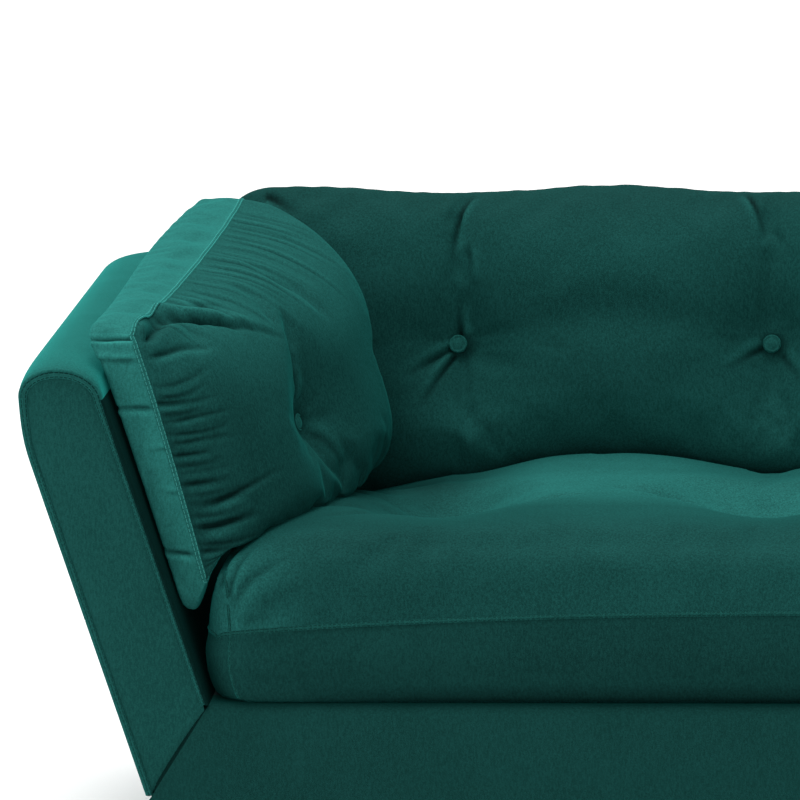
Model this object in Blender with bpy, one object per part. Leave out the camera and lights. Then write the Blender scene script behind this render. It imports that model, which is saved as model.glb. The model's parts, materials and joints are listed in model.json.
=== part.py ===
"""Three-seat velvet sofa: padded timber frame with leaning arms and back, loose cushions, turned legs.

Metres, +Z up, front towards -Y. The origin is on the floor under the middle of the sofa.
"""

import math

import bmesh
import bpy
import numpy as np

# Driving dimensions of the padded frame
WIDTH = 2.160
DEPTH = 0.890
LEG_CLEARANCE = 0.120
RAIL_HEIGHT = 0.111
SHOULDER_HEIGHT = 0.4816
ARCH_RISE = 0.036
ARCH_SHEAR = 0.11
LEAN = math.radians(17.9)
SLAB_WIDTH = 0.1005
PAD = 0.018
LIP = 0.0045
PANEL_THICKNESS = 0.018
PANEL_INSET = 0.002
PANEL_ROUND = 0.004
RAIL_PANEL_ROUND = 0.010
MITRE_TOE = 0.0069
CORNER_RADIUS_OUTER = 0.100
CORNER_RADIUS_INNER = 0.002
GAP = 0.0003
TIMBER_GAP = 0.00035

# Driving dimensions of the timbers, springs and cloths inside
RAIL_LIFT = 0.005
RAIL_TIMBER_HEIGHT = 0.0845
RAIL_TIMBER_THICKNESS = 0.025
RAIL_COVER_GAP = 0.0045
SIDE_RAIL_WIDTH = 0.08265
REAR_RAIL_WIDTH = 0.05765
REAR_RAIL_LAP = 0.025
STRETCHER_THICKNESS = 0.040
STRETCHER_HEIGHT = 0.065
BLOCK_SIZE = 0.085
BLOCK_CHAMFER = 0.045
BLOCK_WALL = 0.016
POST_DEPTH = 0.045
BACK_POST_INSET = 0.230
REAR_ARM_POST_INSET = 0.345
TOP_RAIL_DROP = 0.027
BACK_TOP_RAIL_INSET = 0.300
SPRING_COUNT = 8
SPRING_MARGIN = 0.1375
SPRING_WIRE = 0.004
SPRING_BEND_PITCH = 0.040
SPRING_SWING = 0.022
SPRING_SQUARENESS = 1.35
DECK_OVERLAP = 0.011
DUST_COVER_THICKNESS = 0.0022

# Driving dimensions of the legs and glides
LEG_INSET = 0.055
LEG_TOP_RADIUS = 0.025
LEG_FOOT_RADIUS = 0.014
LEG_CHAMFER = 0.0015
GLIDE_HEIGHT = 0.006
GLIDE_RADIUS = 0.012
BOLT_RADIUS = 0.004
BOLT_LENGTH = 0.045
BOLT_CLEARANCE = 0.0006
BORE_SIDES = 12

# Driving dimensions of the seat cushion
CUSHION_GAP = 0.0009
SEAT_END_CLEARANCE = 0.008
SEAT_FRONT_SETBACK = 0.012
SEAT_REAR_CLEARANCE = 0.010
SEAT_BOXING = 0.1067
SEAT_BULGE = 0.009
SEAT_CROWN = 0.090
SEAT_ROLL = 0.160
SEAT_SHOULDER_ROLL = 0.040
SEAT_SHOULDER_RISE = 0.058
SEAT_DRAW_IN = 0.006
SEAT_TUFT_SETBACK = 0.330
SEAT_TUFT_DEPTH = 0.036
SEAT_TUFT_SPREAD = 0.055
SEAT_VALLEY_DEPTH = 0.018
SEAT_VALLEY_WIDTH = 0.060
SEAT_VALLEY_LENGTH = 0.160

# Driving dimensions of the back cushion
TUFT_PITCH_SHARE = 0.1824
TUFT_FLAT = 0.020
TUFT_GRID = 0.0135
TUFT_GRID_STEPS = (0.028, 0.050, 0.095)
GRID_MARGIN = 0.020
GRID_CLOSEST = 0.004
BACK_REAR_TAPER = 0.0045
BACK_END_CLEARANCE = 0.012
BACK_END_FLARE = 0.150
BACK_SEAT_DROP = 0.041
BACK_HEIGHT = 0.367
BACK_SEAM = 0.085
BACK_CROWN = 0.090
BACK_ROLL_ENDS = 0.330
BACK_ROLL = 0.165
BACK_REAR_INSET = 0.035
BACK_DRAW_IN = 0.010
BACK_WAVE = 0.013
BACK_TUFT_HEIGHT = 0.159
BACK_TUFT_DEPTH = 0.046
BACK_TUFT_SPREAD = 0.060
BACK_FOLD_DEPTH = 0.014
BACK_FOLD_WIDTH = 0.050

# Driving dimensions of the arm cushions
ARM_CUSHION_SETBACK = 0.040
ARM_CUSHION_CLEARANCE = 0.003
ARM_SEAT_CLEARANCE = 0.007
ARM_SEAT_MARGIN = 0.020
ARM_FOOT_DROP = 0.074
ARM_FOOT_RISE = 0.048
ARM_TOP_OVER_ARM = 0.042
ARM_TOP_RISE = 0.083
ARM_LEAN_OFF = 0.011
ARM_TURN_OFF = 0.100
ARM_BOXING_FOOT = 0.033
ARM_BOXING_TOP = 0.043
ARM_CROWN = 0.155
ARM_ROLL_FRONT = 0.420
ARM_ROLL_REAR = 0.070
ARM_ROLL_FOOT = 0.160
ARM_ROLL_TOP_FRONT = 0.180
ARM_ROLL_TOP_REAR = 0.060
ARM_DRAW_IN = 0.010
ARM_TUFT_SETBACK = 0.292
ARM_TUFT_SHARE = 0.455
ARM_TUFT_DEPTH = 0.042
ARM_TUFT_SPREAD = 0.055

# Driving dimensions of the covered buttons
BUTTON_RADIUS = 0.0115
BUTTON_HEIGHT = 0.008
BUTTON_GAP = 0.0005
BUTTON_BASE_SHARE = 0.85
BUTTON_RIM_SHARE = 0.30

# Levels and planes that follow from the driving dimensions
SLOPE = math.tan(LEAN)
FRONT_Y = -DEPTH / 2
REAR_Y = DEPTH / 2
HALF_WIDTH = WIDTH / 2
BASE_Z = LEG_CLEARANCE
DECK_Z = BASE_Z + RAIL_HEIGHT
SHOULDER_Z = BASE_Z + SHOULDER_HEIGHT
RAIL_BOTTOM_Z = BASE_Z + RAIL_LIFT
RAIL_TOP_Z = RAIL_BOTTOM_Z + RAIL_TIMBER_HEIGHT
PAD_LEVEL = PAD / math.cos(LEAN)
PANEL_BACK_Y = FRONT_Y + PANEL_INSET + PANEL_THICKNESS
INNER_LEG_Z = DECK_Z + GAP
TIMBER_TOP_Z = SHOULDER_Z - TOP_RAIL_DROP
SIDES = (("left", -1), ("right", 1))
TUFT_PITCH = WIDTH * TUFT_PITCH_SHARE


def outer_line(z):
    """How far the leaning outer face stands inside the outer shoulder at a height, as a negative number."""
    return (z - SHOULDER_Z) * SLOPE


def inner_line(z):
    return outer_line(z) - SLAB_WIDTH


def arm_inner_x(z):
    return HALF_WIDTH + inner_line(z)


def back_inner_y(z):
    return REAR_Y + inner_line(z)


def rail_face(z):
    """How far a rail's outer face stands inside the outer shoulder, behind the padding of its cover."""
    return outer_line(z) - PAD_LEVEL - RAIL_COVER_GAP


SIDE_RAIL_INNER_X = HALF_WIDTH + rail_face(RAIL_BOTTOM_Z) - SIDE_RAIL_WIDTH
REAR_RAIL_INNER_Y = REAR_Y + rail_face(RAIL_BOTTOM_Z) - REAR_RAIL_WIDTH
STRETCHER_X = SIDE_RAIL_INNER_X / 3
REAR_ARM_POST_Y = REAR_Y - REAR_ARM_POST_INSET
BACK_TOP_RAIL_HALF = HALF_WIDTH - BACK_TOP_RAIL_INSET
BACK_POST_X = BACK_TOP_RAIL_HALF - BACK_POST_INSET
SPRING_PITCH = 2 * (SIDE_RAIL_INNER_X - SPRING_MARGIN) / (SPRING_COUNT - 1)


def finish(name, colour, roughness, metallic=0.0):
    material = bpy.data.materials.new(name)
    material.use_nodes = True
    shader = material.node_tree.nodes["Principled BSDF"]
    shader.inputs["Base Color"].default_value = (*colour, 1.0)
    shader.inputs["Roughness"].default_value = roughness
    shader.inputs["Metallic"].default_value = metallic
    return material


def mesh_object(name, points, faces, material):
    mesh = bpy.data.meshes.new(name)
    mesh.from_pydata([tuple(map(float, point)) for point in points], [], faces)
    shape = bmesh.new()
    shape.from_mesh(mesh)
    bmesh.ops.recalc_face_normals(shape, faces=shape.faces)
    shape.to_mesh(mesh)
    shape.free()
    mesh.shade_smooth()
    mesh.set_sharp_from_angle(angle=math.radians(35))
    mesh.materials.append(material)
    piece = bpy.data.objects.new(name, mesh)
    bpy.context.scene.collection.objects.link(piece)
    return piece


def ring_quads(first, second, count):
    """Quads between two closed rings of points that start at these indices."""
    return [
        (first + i, first + (i + 1) % count, second + (i + 1) % count, second + i) for i in range(count)
    ]


def loft(name, loops, material):
    """One solid through closed loops of equal count, with a flat face at each end."""
    count = len(loops[0])
    points = [point for loop in loops for point in loop]
    faces = [tuple(range(count)), tuple(range(len(points) - count, len(points)))]
    for i in range(len(loops) - 1):
        faces += ring_quads(i * count, (i + 1) * count, count)
    return mesh_object(name, points, faces, material)


def block(name, low, high, material):
    """A squared timber between two corners."""
    plan = [(low[0], low[1]), (high[0], low[1]), (high[0], high[1]), (low[0], high[1])]
    return loft(name, [[(x, y, z) for x, y in plan] for z in (low[2], high[2])], material)


def disc_loops(centre, across, up, axis, rings, sides):
    """Circles round an axis, one for each (height, radius) in rings."""
    turn = np.linspace(0, 2 * math.pi, sides, endpoint=False)
    wheel = np.outer(np.cos(turn), across) + np.outer(np.sin(turn), up)
    return [np.asarray(centre) + height * np.asarray(axis) + radius * wheel for height, radius in rings]


def turned(name, x, y, rings, material, sides=24):
    return loft(name, disc_loops((x, y, 0), (1, 0, 0), (0, 1, 0), (0, 0, 1), rings, sides), material)


def cut(piece, cutter):
    cutter.hide_render = True
    cutter.display_type = "WIRE"
    modifier = piece.modifiers.new("cut", "BOOLEAN")
    modifier.operation = "DIFFERENCE"
    modifier.solver = "EXACT"
    modifier.object = cutter


def arch(inset, steps=10):
    """The arched top of the slab as (offset from the outer shoulder, height, share across the slab)."""
    inset_level = inset / math.cos(LEAN)
    half = SLAB_WIDTH / 2 - inset_level
    rise = ARCH_RISE - inset
    rows = []
    for turn in np.linspace(0, math.pi, steps + 1):
        lift = rise * math.sin(turn)
        offset = -SLAB_WIDTH / 2 + half * math.cos(turn) + ARCH_SHEAR * lift
        share = 0.5 + math.cos(turn) * half / SLAB_WIDTH
        rows.append((offset, SHOULDER_Z + lift, share))
    return rows


def slab_profile(inset):
    """The leaning slab's section, from its outer foot over the arch to its inner foot."""
    inset_level = inset / math.cos(LEAN)
    share = inset_level / SLAB_WIDTH
    foot = (outer_line(BASE_Z) - inset_level, BASE_Z, 1 - share)
    toe = (inner_line(INNER_LEG_Z) + inset_level, INNER_LEG_Z, share)
    return [foot, *arch(inset), toe]


def round_corner(profile, turn, setback=0.0):
    """A slab section carried round the right rear corner, to a turn from 0 (arm) to 90 degrees (back)."""
    points = []
    for offset, z, share in profile:
        radius = CORNER_RADIUS_INNER + (CORNER_RADIUS_OUTER - CORNER_RADIUS_INNER) * share
        x = HALF_WIDTH + offset - radius + radius * math.cos(turn)
        y = REAR_Y + offset - radius + radius * math.sin(turn)
        points.append((x, y - setback, z))
    return points


def wrapped_shell(name, outside, inside, material):
    """A padded cover from rows of outer points and matching rows of inner points."""
    rows = len(outside)
    count = len(outside[0])
    points = [point for row in outside for point in row] + [point for row in inside for point in row]
    inner = rows * count
    faces = []
    for i in range(rows - 1):
        a = i * count
        b = a + count
        for j in range(count - 1):
            faces.append((a + j, a + j + 1, b + j + 1, b + j))
            faces.append((inner + a + j, inner + b + j, inner + b + j + 1, inner + a + j + 1))
        for j in (0, count - 1):
            faces.append((a + j, b + j, inner + b + j, inner + a + j))
    for a in (0, (rows - 1) * count):
        for j in range(count - 1):
            faces.append((a + j, a + j + 1, inner + a + j + 1, inner + a + j))
    return mesh_object(name, points, faces, material)


def mirrored(points, side):
    return [(side * x, y, z) for x, y, z in points]


def mitre_x(z):
    """The slanted seam between the front rail panel and an arm front panel."""
    head = arm_inner_x(DECK_Z)
    toe = HALF_WIDTH + outer_line(BASE_Z) - MITRE_TOE
    return toe + (z - BASE_Z) / (DECK_Z - BASE_Z) * (head - toe)


def arm_cover(side_name, side, material):
    """The wrap of one arm, rebated at the front for its panel and mitred at the rear corner."""
    rebate_y = PANEL_BACK_Y + GAP
    outer_section = slab_profile(0.0)
    turns = np.radians((0, 15, 30, 45))
    outside = []
    inside = []
    for y, wall in ((FRONT_Y, LIP), (rebate_y, LIP), (rebate_y + GAP + PANEL_INSET, PAD)):
        outside.append([(HALF_WIDTH + offset, y, z) for offset, z, _ in outer_section])
        inside.append([(HALF_WIDTH + offset, y, z) for offset, z, _ in slab_profile(wall)])
    for turn in turns:
        outside.append(round_corner(outer_section, turn, GAP))
        inside.append(round_corner(slab_profile(PAD), turn, GAP))
    outside = [mirrored(row, side) for row in outside]
    inside = [mirrored(row, side) for row in inside]
    wrapped_shell("arm_cover_" + side_name, outside, inside, material)


def back_cover(material):
    """The wrap of the back, from mitre to mitre."""
    turns = np.radians((45, 60, 75, 90))
    outside = [round_corner(slab_profile(0.0), turn) for turn in turns]
    inside = [round_corner(slab_profile(PAD), turn) for turn in turns]
    outside += [mirrored(row, -1) for row in reversed(outside)]
    inside += [mirrored(row, -1) for row in reversed(inside)]
    wrapped_shell("back_cover", outside, inside, material)


def arm_front_panel(side_name, side, material):
    """The padded front face of an arm, inside the cover's lip and down to the mitre seam."""

    def outline(shrink):
        inset = LIP + GAP + shrink
        foot_z = BASE_Z + shrink
        inset_level = inset / math.cos(LEAN)
        seam = GAP + shrink
        top = [(HALF_WIDTH + offset, z) for offset, z, _ in arch(inset)]
        foot_x = HALF_WIDTH + outer_line(foot_z) - inset_level
        inner_x = HALF_WIDTH + inner_line(INNER_LEG_Z) + inset_level
        slant = (mitre_x(BASE_Z) - mitre_x(DECK_Z)) / (DECK_Z - BASE_Z)
        seam_z = DECK_Z - (inner_x - seam - mitre_x(DECK_Z)) / slant
        toe_x = min(mitre_x(foot_z) + seam, foot_x - GAP)
        return [(foot_x, foot_z), *top, (inner_x, INNER_LEG_Z), (inner_x, seam_z), (toe_x, foot_z)]

    face_y = FRONT_Y + PANEL_INSET
    stages = ((face_y, PANEL_ROUND / 2), (face_y + PANEL_ROUND / 2, 0.0), (PANEL_BACK_Y, 0.0))
    loops = [[(side * x, y, z) for x, z in outline(shrink)] for y, shrink in stages]
    loft("arm_front_panel_" + side_name, loops, material)


def front_rail_panel(material):
    """The padded panel over the front rail, with a rolled top edge and mitred ends."""
    face_y = FRONT_Y + PANEL_INSET
    section = [(PANEL_BACK_Y, BASE_Z), (face_y, BASE_Z)]
    for turn in np.linspace(0, math.pi / 2, 5):
        y = face_y + RAIL_PANEL_ROUND * (1 - math.cos(turn))
        section.append((y, DECK_Z - RAIL_PANEL_ROUND * (1 - math.sin(turn))))
    section.append((PANEL_BACK_Y, DECK_Z))
    loops = [[(side * (mitre_x(z) - GAP), y, z) for y, z in section] for side in (-1, 1)]
    loft("front_rail_panel", loops, material)


def seat_frame(timber):
    """Rails, stretchers and corner blocks of the seat."""
    front_y = PANEL_BACK_Y + GAP
    rear_y = REAR_RAIL_INNER_Y - GAP
    levels = (RAIL_BOTTOM_Z, RAIL_TOP_Z)
    inner = SIDE_RAIL_INNER_X - GAP
    low = (-inner, front_y, RAIL_BOTTOM_Z)
    block("front_rail", low, (inner, front_y + RAIL_TIMBER_THICKNESS, RAIL_TOP_Z), timber)
    for side_name, side in SIDES:
        loops = []
        for z in levels:
            face = HALF_WIDTH + rail_face(z)
            near = SIDE_RAIL_INNER_X
            plan = ((near, front_y), (face, front_y), (face, rear_y), (near, rear_y))
            loops.append([(side * x, y, z) for x, y in plan])
        loft("side_rail_" + side_name, loops, timber)
    lap = SIDE_RAIL_INNER_X + REAR_RAIL_LAP
    loops = []
    for z in levels:
        face = REAR_Y + rail_face(z)
        near = REAR_RAIL_INNER_Y
        loops.append([(-lap, near, z), (lap, near, z), (lap, face, z), (-lap, face, z)])
    loft("rear_rail", loops, timber)
    stretcher_y = (front_y + RAIL_TIMBER_THICKNESS + GAP, rear_y)
    for side_name, side in SIDES:
        middle = side * STRETCHER_X
        low = (middle - STRETCHER_THICKNESS / 2, stretcher_y[0], RAIL_BOTTOM_Z)
        high = (middle + STRETCHER_THICKNESS / 2, stretcher_y[1], RAIL_BOTTOM_Z + STRETCHER_HEIGHT)
        block("stretcher_" + side_name, low, high, timber)


def leg_places():
    """Where the four legs stand: corner name, side, end (-1 front, 1 rear), x and y."""
    front_y = PANEL_BACK_Y + RAIL_TIMBER_THICKNESS + 2 * GAP + LEG_INSET
    rear_y = REAR_RAIL_INNER_Y - 2 * GAP - LEG_INSET
    x = SIDE_RAIL_INNER_X - GAP - LEG_INSET
    places = []
    for end_name, end, y in (("front", -1, front_y), ("rear", 1, rear_y)):
        for side_name, side in SIDES:
            places.append((end_name + "_" + side_name, side, end, side * x, y))
    return places


def corner_block(corner, side, end, leg_x, leg_y, timber):
    """A glued block in a corner of the seat frame, chamfered inside and bored for the leg's bolt."""
    corner_x = leg_x + side * (LEG_INSET - GAP)
    corner_y = leg_y + end * (LEG_INSET - GAP)
    size = max(BLOCK_SIZE, LEG_INSET + BLOCK_WALL)
    far_x = corner_x - side * size
    far_y = corner_y - end * size
    plan = [
        (corner_x, corner_y),
        (far_x, corner_y),
        (far_x, corner_y - end * (size - BLOCK_CHAMFER)),
        (corner_x - side * (size - BLOCK_CHAMFER), far_y),
        (corner_x, far_y),
    ]
    loops = [[(x, y, z) for x, y in plan] for z in (RAIL_BOTTOM_Z, RAIL_BOTTOM_Z + STRETCHER_HEIGHT)]
    body = loft("corner_block_" + corner, loops, timber)
    bolt_top = leg_top_z() + BOLT_LENGTH
    bore = BOLT_RADIUS + BOLT_CLEARANCE
    rings = ((BASE_Z / 2, bore), (bolt_top + BOLT_CLEARANCE, bore))
    cut(body, turned("bolt_bore_" + corner, leg_x, leg_y, rings, timber, BORE_SIDES))


def dust_cover_levels():
    top = RAIL_BOTTOM_Z - GAP
    return top - DUST_COVER_THICKNESS, top


def leg_top_z():
    return dust_cover_levels()[0] - GAP


def leg(corner, x, y, wood, plastic):
    """A turned leg tapering to its foot, with the hanger bolt in its top and a glide under it."""
    top = leg_top_z()
    foot = GLIDE_HEIGHT + GAP
    swell = (LEG_TOP_RADIUS * 2 + LEG_FOOT_RADIUS) / 3
    rings = (
        (foot, LEG_FOOT_RADIUS - LEG_CHAMFER),
        (foot + LEG_CHAMFER, LEG_FOOT_RADIUS),
        ((foot + top) / 2, swell),
        (top - LEG_CHAMFER, LEG_TOP_RADIUS),
        (top, LEG_TOP_RADIUS - LEG_CHAMFER),
        (top, BOLT_RADIUS),
        (top + BOLT_LENGTH, BOLT_RADIUS),
    )
    turned("leg_" + corner, x, y, rings, wood)
    rings = ((0.0, GLIDE_RADIUS - LEG_CHAMFER), (LEG_CHAMFER, GLIDE_RADIUS), (GLIDE_HEIGHT, GLIDE_RADIUS))
    turned("glide_" + corner, x, y, rings, plastic)


def leaning_post(name, across, low_z, high_z, along, material):
    """A post that fills the space between the two walls of a leaning cover."""
    loops = []
    for z in (low_z, high_z):
        near = inner_line(z) + PAD_LEVEL + TIMBER_GAP
        far = outer_line(z) - PAD_LEVEL - TIMBER_GAP
        first, last = across
        plan = ((near, first), (far, first), (far, last), (near, last))
        loops.append([along(offset, at, z) for offset, at in plan])
    loft(name, loops, material)


def top_rail_section():
    """The arched section of a top rail, under the padding of the arch."""
    inset = PAD + TIMBER_GAP
    inset_level = inset / math.cos(LEAN)
    section = [(offset, z) for offset, z, _ in arch(inset)]
    section.append((inner_line(TIMBER_TOP_Z) + inset_level, TIMBER_TOP_Z))
    section.append((outer_line(TIMBER_TOP_Z) - inset_level, TIMBER_TOP_Z))
    return section


def arm_and_back_timbers(timber):
    """Posts on the rails of the seat frame, and the top rails that they carry."""
    low_z = RAIL_TOP_Z + GAP
    high_z = TIMBER_TOP_Z - GAP
    front_y = PANEL_BACK_Y + PANEL_INSET + 3 * GAP
    spans = (("front", front_y), ("rear", REAR_ARM_POST_Y))
    for side_name, side in SIDES:
        for end_name, start in spans:
            leaning_post(
                "arm_post_" + end_name + "_" + side_name, (start, start + POST_DEPTH), low_z, high_z,
                lambda offset, y, z, side=side: (side * (HALF_WIDTH + offset), y, z), timber,
            )
        ends = (front_y, REAR_ARM_POST_Y + POST_DEPTH)
        loops = [[(side * (HALF_WIDTH + offset), y, z) for offset, z in top_rail_section()] for y in ends]
        loft("arm_top_rail_" + side_name, loops, timber)
    for post_name, x in (("left", -BACK_POST_X), ("centre", 0.0), ("right", BACK_POST_X)):
        leaning_post(
            "back_post_" + post_name, (x - POST_DEPTH / 2, x + POST_DEPTH / 2), low_z, high_z,
            lambda offset, at, z: (at, REAR_Y + offset, z), timber,
        )
    ends = (-BACK_TOP_RAIL_HALF, BACK_TOP_RAIL_HALF)
    loops = [[(x, REAR_Y + offset, z) for offset, z in top_rail_section()] for x in ends]
    loft("back_top_rail", loops, timber)


def spring(number, x, steel):
    """A sinuous spring of one wire, bent from side to side, from the front rail to the rear rail."""
    start = PANEL_BACK_Y + GAP + RAIL_TIMBER_THICKNESS / 2
    end = REAR_RAIL_INNER_Y + RAIL_TIMBER_THICKNESS
    bends = max(2, round((end - start - 2 * RAIL_TIMBER_THICKNESS) / SPRING_BEND_PITCH))
    steps = bends * 4
    share = np.linspace(0, 1, steps + 1)
    y = start + RAIL_TIMBER_THICKNESS + share * (end - start - 2 * RAIL_TIMBER_THICKNESS)
    swing = SPRING_SWING * np.clip(np.sin(share * bends * math.pi) * SPRING_SQUARENESS, -1, 1)
    route = np.column_stack([x + swing, y, np.zeros(steps + 1)])
    route = np.vstack([(x, start, 0), route, (x, end, 0)])
    curve = bpy.data.curves.new("spring_" + str(number), "CURVE")
    curve.dimensions = "3D"
    curve.bevel_depth = SPRING_WIRE / 2
    curve.bevel_resolution = 0
    curve.use_fill_caps = True
    line = curve.splines.new("POLY")
    line.points.add(len(route) - 1)
    for point, place in zip(line.points, route):
        point.co = (*place, 1.0)
    curve.materials.append(steel)
    wire = bpy.data.objects.new("spring_" + str(number), curve)
    wire.location = (0, 0, RAIL_TOP_Z + GAP + SPRING_WIRE / 2)
    bpy.context.scene.collection.objects.link(wire)


def seat_deck(cloth):
    """The padded deck cloth on the springs, tucked under the inner walls of the covers."""
    half = arm_inner_x(INNER_LEG_Z) + DECK_OVERLAP
    rear = back_inner_y(INNER_LEG_Z) + DECK_OVERLAP
    bottom = RAIL_TOP_Z + 2 * GAP + SPRING_WIRE
    block("seat_deck", (-half, PANEL_BACK_Y + GAP, bottom), (half, rear, DECK_Z - GAP), cloth)


def dust_cover(cloth):
    """The thin cloth under the frame, with a hole for each leg bolt."""
    bottom, top = dust_cover_levels()
    wall = PAD_LEVEL + RAIL_COVER_GAP
    share = 1 - wall / SLAB_WIDTH
    edge = [(outer_line(BASE_Z) - wall, BASE_Z, share)]
    corner = [round_corner(edge, turn)[0] for turn in np.radians((0, 30, 60, 90))]
    front_y = PANEL_BACK_Y + GAP
    plan = [(corner[0][0], front_y), *[(x, y) for x, y, _ in corner]]
    plan += [(-x, y) for x, y in reversed(plan)]
    sheet = loft("dust_cover", [[(x, y, z) for x, y in plan] for z in (bottom, top)], cloth)
    for name, _, _, x, y in leg_places():
        rings = ((BASE_Z / 2, BOLT_RADIUS + BOLT_CLEARANCE), (DECK_Z, BOLT_RADIUS + BOLT_CLEARANCE))
        cut(sheet, turned("bolt_hole_" + name, x, y, rings, cloth, BORE_SIDES))


def rolled_edge(distance, roll):
    """Rise of a crowned panel from its seam: a quarter ellipse over the width of the roll, then level."""
    return np.sqrt(1 - (1 - np.clip(distance / roll, 0, 1)) ** 2)


def tuft_dip(distance, depth, spread):
    """A sewn tuft: flat under its button, then a bell-shaped dimple."""
    return depth * np.exp(-((np.maximum(distance - TUFT_FLAT, 0) / spread) ** 2))


def tuft_lines(low, high, tufts, edge_steps):
    """Grid lines from edge to edge, closer together at the rolled edges and round each tuft."""
    near = np.array((TUFT_GRID, *TUFT_GRID_STEPS))
    lines = [low, high]
    for tuft in tufts:
        round_tuft = np.concatenate([tuft - near, tuft + near])
        lines += [value for value in round_tuft if low + GRID_MARGIN < value < high - GRID_MARGIN]
    for step in edge_steps:
        lines += [low + step, high - step]
    kept = []
    for value in sorted(lines):
        if not kept or value - kept[-1] > GRID_CLOSEST:
            kept.append(value)
    return np.array(kept)


def pillow(name, across, along, rows, place, material):
    """A closed cushion: a crowned grid on one face, boxing rows down its edge, and a flat face behind."""
    count_u = len(across)
    count_v = len(along)
    grid_u, grid_v = np.meshgrid(across, along, indexing="ij")
    points = list(place(grid_u.ravel(), grid_v.ravel(), 1.0))
    faces = []
    for i in range(count_u - 1):
        for j in range(count_v - 1):
            a = i * count_v + j
            faces.append((a, a + count_v, a + count_v + 1, a + 1))
    edge = [i * count_v for i in range(count_u)]
    edge += [(count_u - 1) * count_v + j for j in range(1, count_v)]
    edge += [i * count_v + count_v - 1 for i in range(count_u - 2, -1, -1)]
    edge += [j for j in range(count_v - 2, 0, -1)]
    edge_u = grid_u.ravel()[edge]
    edge_v = grid_v.ravel()[edge]
    last = edge
    for share in rows:
        ring = list(range(len(points), len(points) + len(edge)))
        points += list(place(edge_u, edge_v, share))
        for k in range(len(edge)):
            n = (k + 1) % len(edge)
            faces.append((last[k], last[n], ring[n], ring[k]))
        last = ring
    middle = place(np.array([across.mean()]), np.array([along.mean()]), 0.0)[0]
    points.append(middle)
    for k in range(len(edge)):
        faces.append((last[k], last[(k + 1) % len(edge)], len(points) - 1))
    return mesh_object(name, points, faces, material)


SEAT_HALF = arm_inner_x(DECK_Z) - SEAT_END_CLEARANCE
SEAT_FRONT = FRONT_Y + SEAT_FRONT_SETBACK
SEAT_REAR = back_inner_y(DECK_Z) - SEAT_REAR_CLEARANCE
SEAT_BOTTOM_Z = DECK_Z
SEAT_SEAM_Z = SEAT_BOTTOM_Z + SEAT_BOXING
SEAT_TUFT_Y = FRONT_Y + SEAT_TUFT_SETBACK
TUFT_XS = [TUFT_PITCH * step for step in (-1.5, -0.5, 0.5, 1.5)]


def seat_shoulder(distance):
    """Rise from a front or end seam of the seat: a tight roll first, then a slow one up to the crown."""
    tight = SEAT_SHOULDER_RISE / SEAT_CROWN
    slow = (1 - tight) * rolled_edge(distance, SEAT_ROLL)
    return tight * rolled_edge(distance, SEAT_SHOULDER_ROLL) + slow


def seat_top(x, y):
    """Height of the seat cushion's top: rolled edges, a level crown, four tufts with a valley each."""
    rise = seat_shoulder(SEAT_HALF - np.abs(x)) * seat_shoulder(y - SEAT_FRONT)
    rise = rise * rolled_edge(SEAT_REAR - y, SEAT_ROLL)
    dip = 0.0
    for tuft in TUFT_XS:
        away = np.hypot(x - tuft, y - SEAT_TUFT_Y)
        outside_flat = np.maximum(away - TUFT_FLAT, 0) / np.maximum(away, TUFT_FLAT)
        across = (x - tuft) * outside_flat / SEAT_VALLEY_WIDTH
        along = (y - SEAT_TUFT_Y) * outside_flat / SEAT_VALLEY_LENGTH
        valley = SEAT_VALLEY_DEPTH * np.exp(-(across**2) - along**2)
        dip = np.maximum(dip, valley + tuft_dip(away, SEAT_TUFT_DEPTH, SEAT_TUFT_SPREAD))
    return SEAT_SEAM_Z + rise * (SEAT_CROWN - dip)


def seat_place(x, y, share):
    """The crown for share 1, and the boxing below it, which bulges half way down."""
    middle_y = (SEAT_FRONT + SEAT_REAR) / 2
    half_y = (SEAT_REAR - SEAT_FRONT) / 2
    share_x = x / SEAT_HALF
    share_y = (y - middle_y) / half_y
    out = SEAT_BULGE * 4 * share * (1 - share)
    drawn_x = SEAT_HALF + out - SEAT_DRAW_IN * (1 - share_y**2)
    drawn_y = half_y + out - SEAT_DRAW_IN * (1 - share_x**2)
    height = seat_top(x, y) if share == 1.0 else np.full_like(x, SEAT_BOTTOM_Z + SEAT_BOXING * share)
    return np.column_stack([share_x * drawn_x, middle_y + share_y * drawn_y, height])


def seat_cushion(material):
    across = tuft_lines(-SEAT_HALF, SEAT_HALF, TUFT_XS, (0.012, 0.045, 0.100))
    along = tuft_lines(SEAT_FRONT, SEAT_REAR, [SEAT_TUFT_Y], (0.012, 0.045, 0.100))
    pillow("seat_cushion", across, along, (0.66, 0.33, 0.0), seat_place, material)


BACK_FOOT_Z = SEAT_SEAM_Z + BACK_SEAT_DROP
BACK_HALF = arm_inner_x(BACK_FOOT_Z) - BACK_END_CLEARANCE
LEAN_UP = np.array((0.0, math.sin(LEAN), math.cos(LEAN)))
LEAN_OUT = np.array((0.0, -math.cos(LEAN), math.sin(LEAN)))


def back_depth(x, height):
    """How far the back cushion's face stands off the back: rolled edges, tufts and the folds above them."""
    rise = rolled_edge(BACK_HALF - np.abs(x), BACK_ROLL_ENDS)
    rise = rise * rolled_edge(np.minimum(height, BACK_HEIGHT - height), BACK_ROLL)
    dip = 0.0
    for tuft in TUFT_XS:
        away = np.hypot(x - tuft, height - BACK_TUFT_HEIGHT)
        above = np.clip((height - BACK_TUFT_HEIGHT - TUFT_FLAT) / BACK_ROLL, 0, 1)
        fold = BACK_FOLD_DEPTH * above * np.exp(-(((x - tuft) / BACK_FOLD_WIDTH) ** 2))
        dip = np.maximum(dip, fold + tuft_dip(away, BACK_TUFT_DEPTH, BACK_TUFT_SPREAD))
    return BACK_SEAM + rise * (BACK_CROWN - dip)


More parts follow.
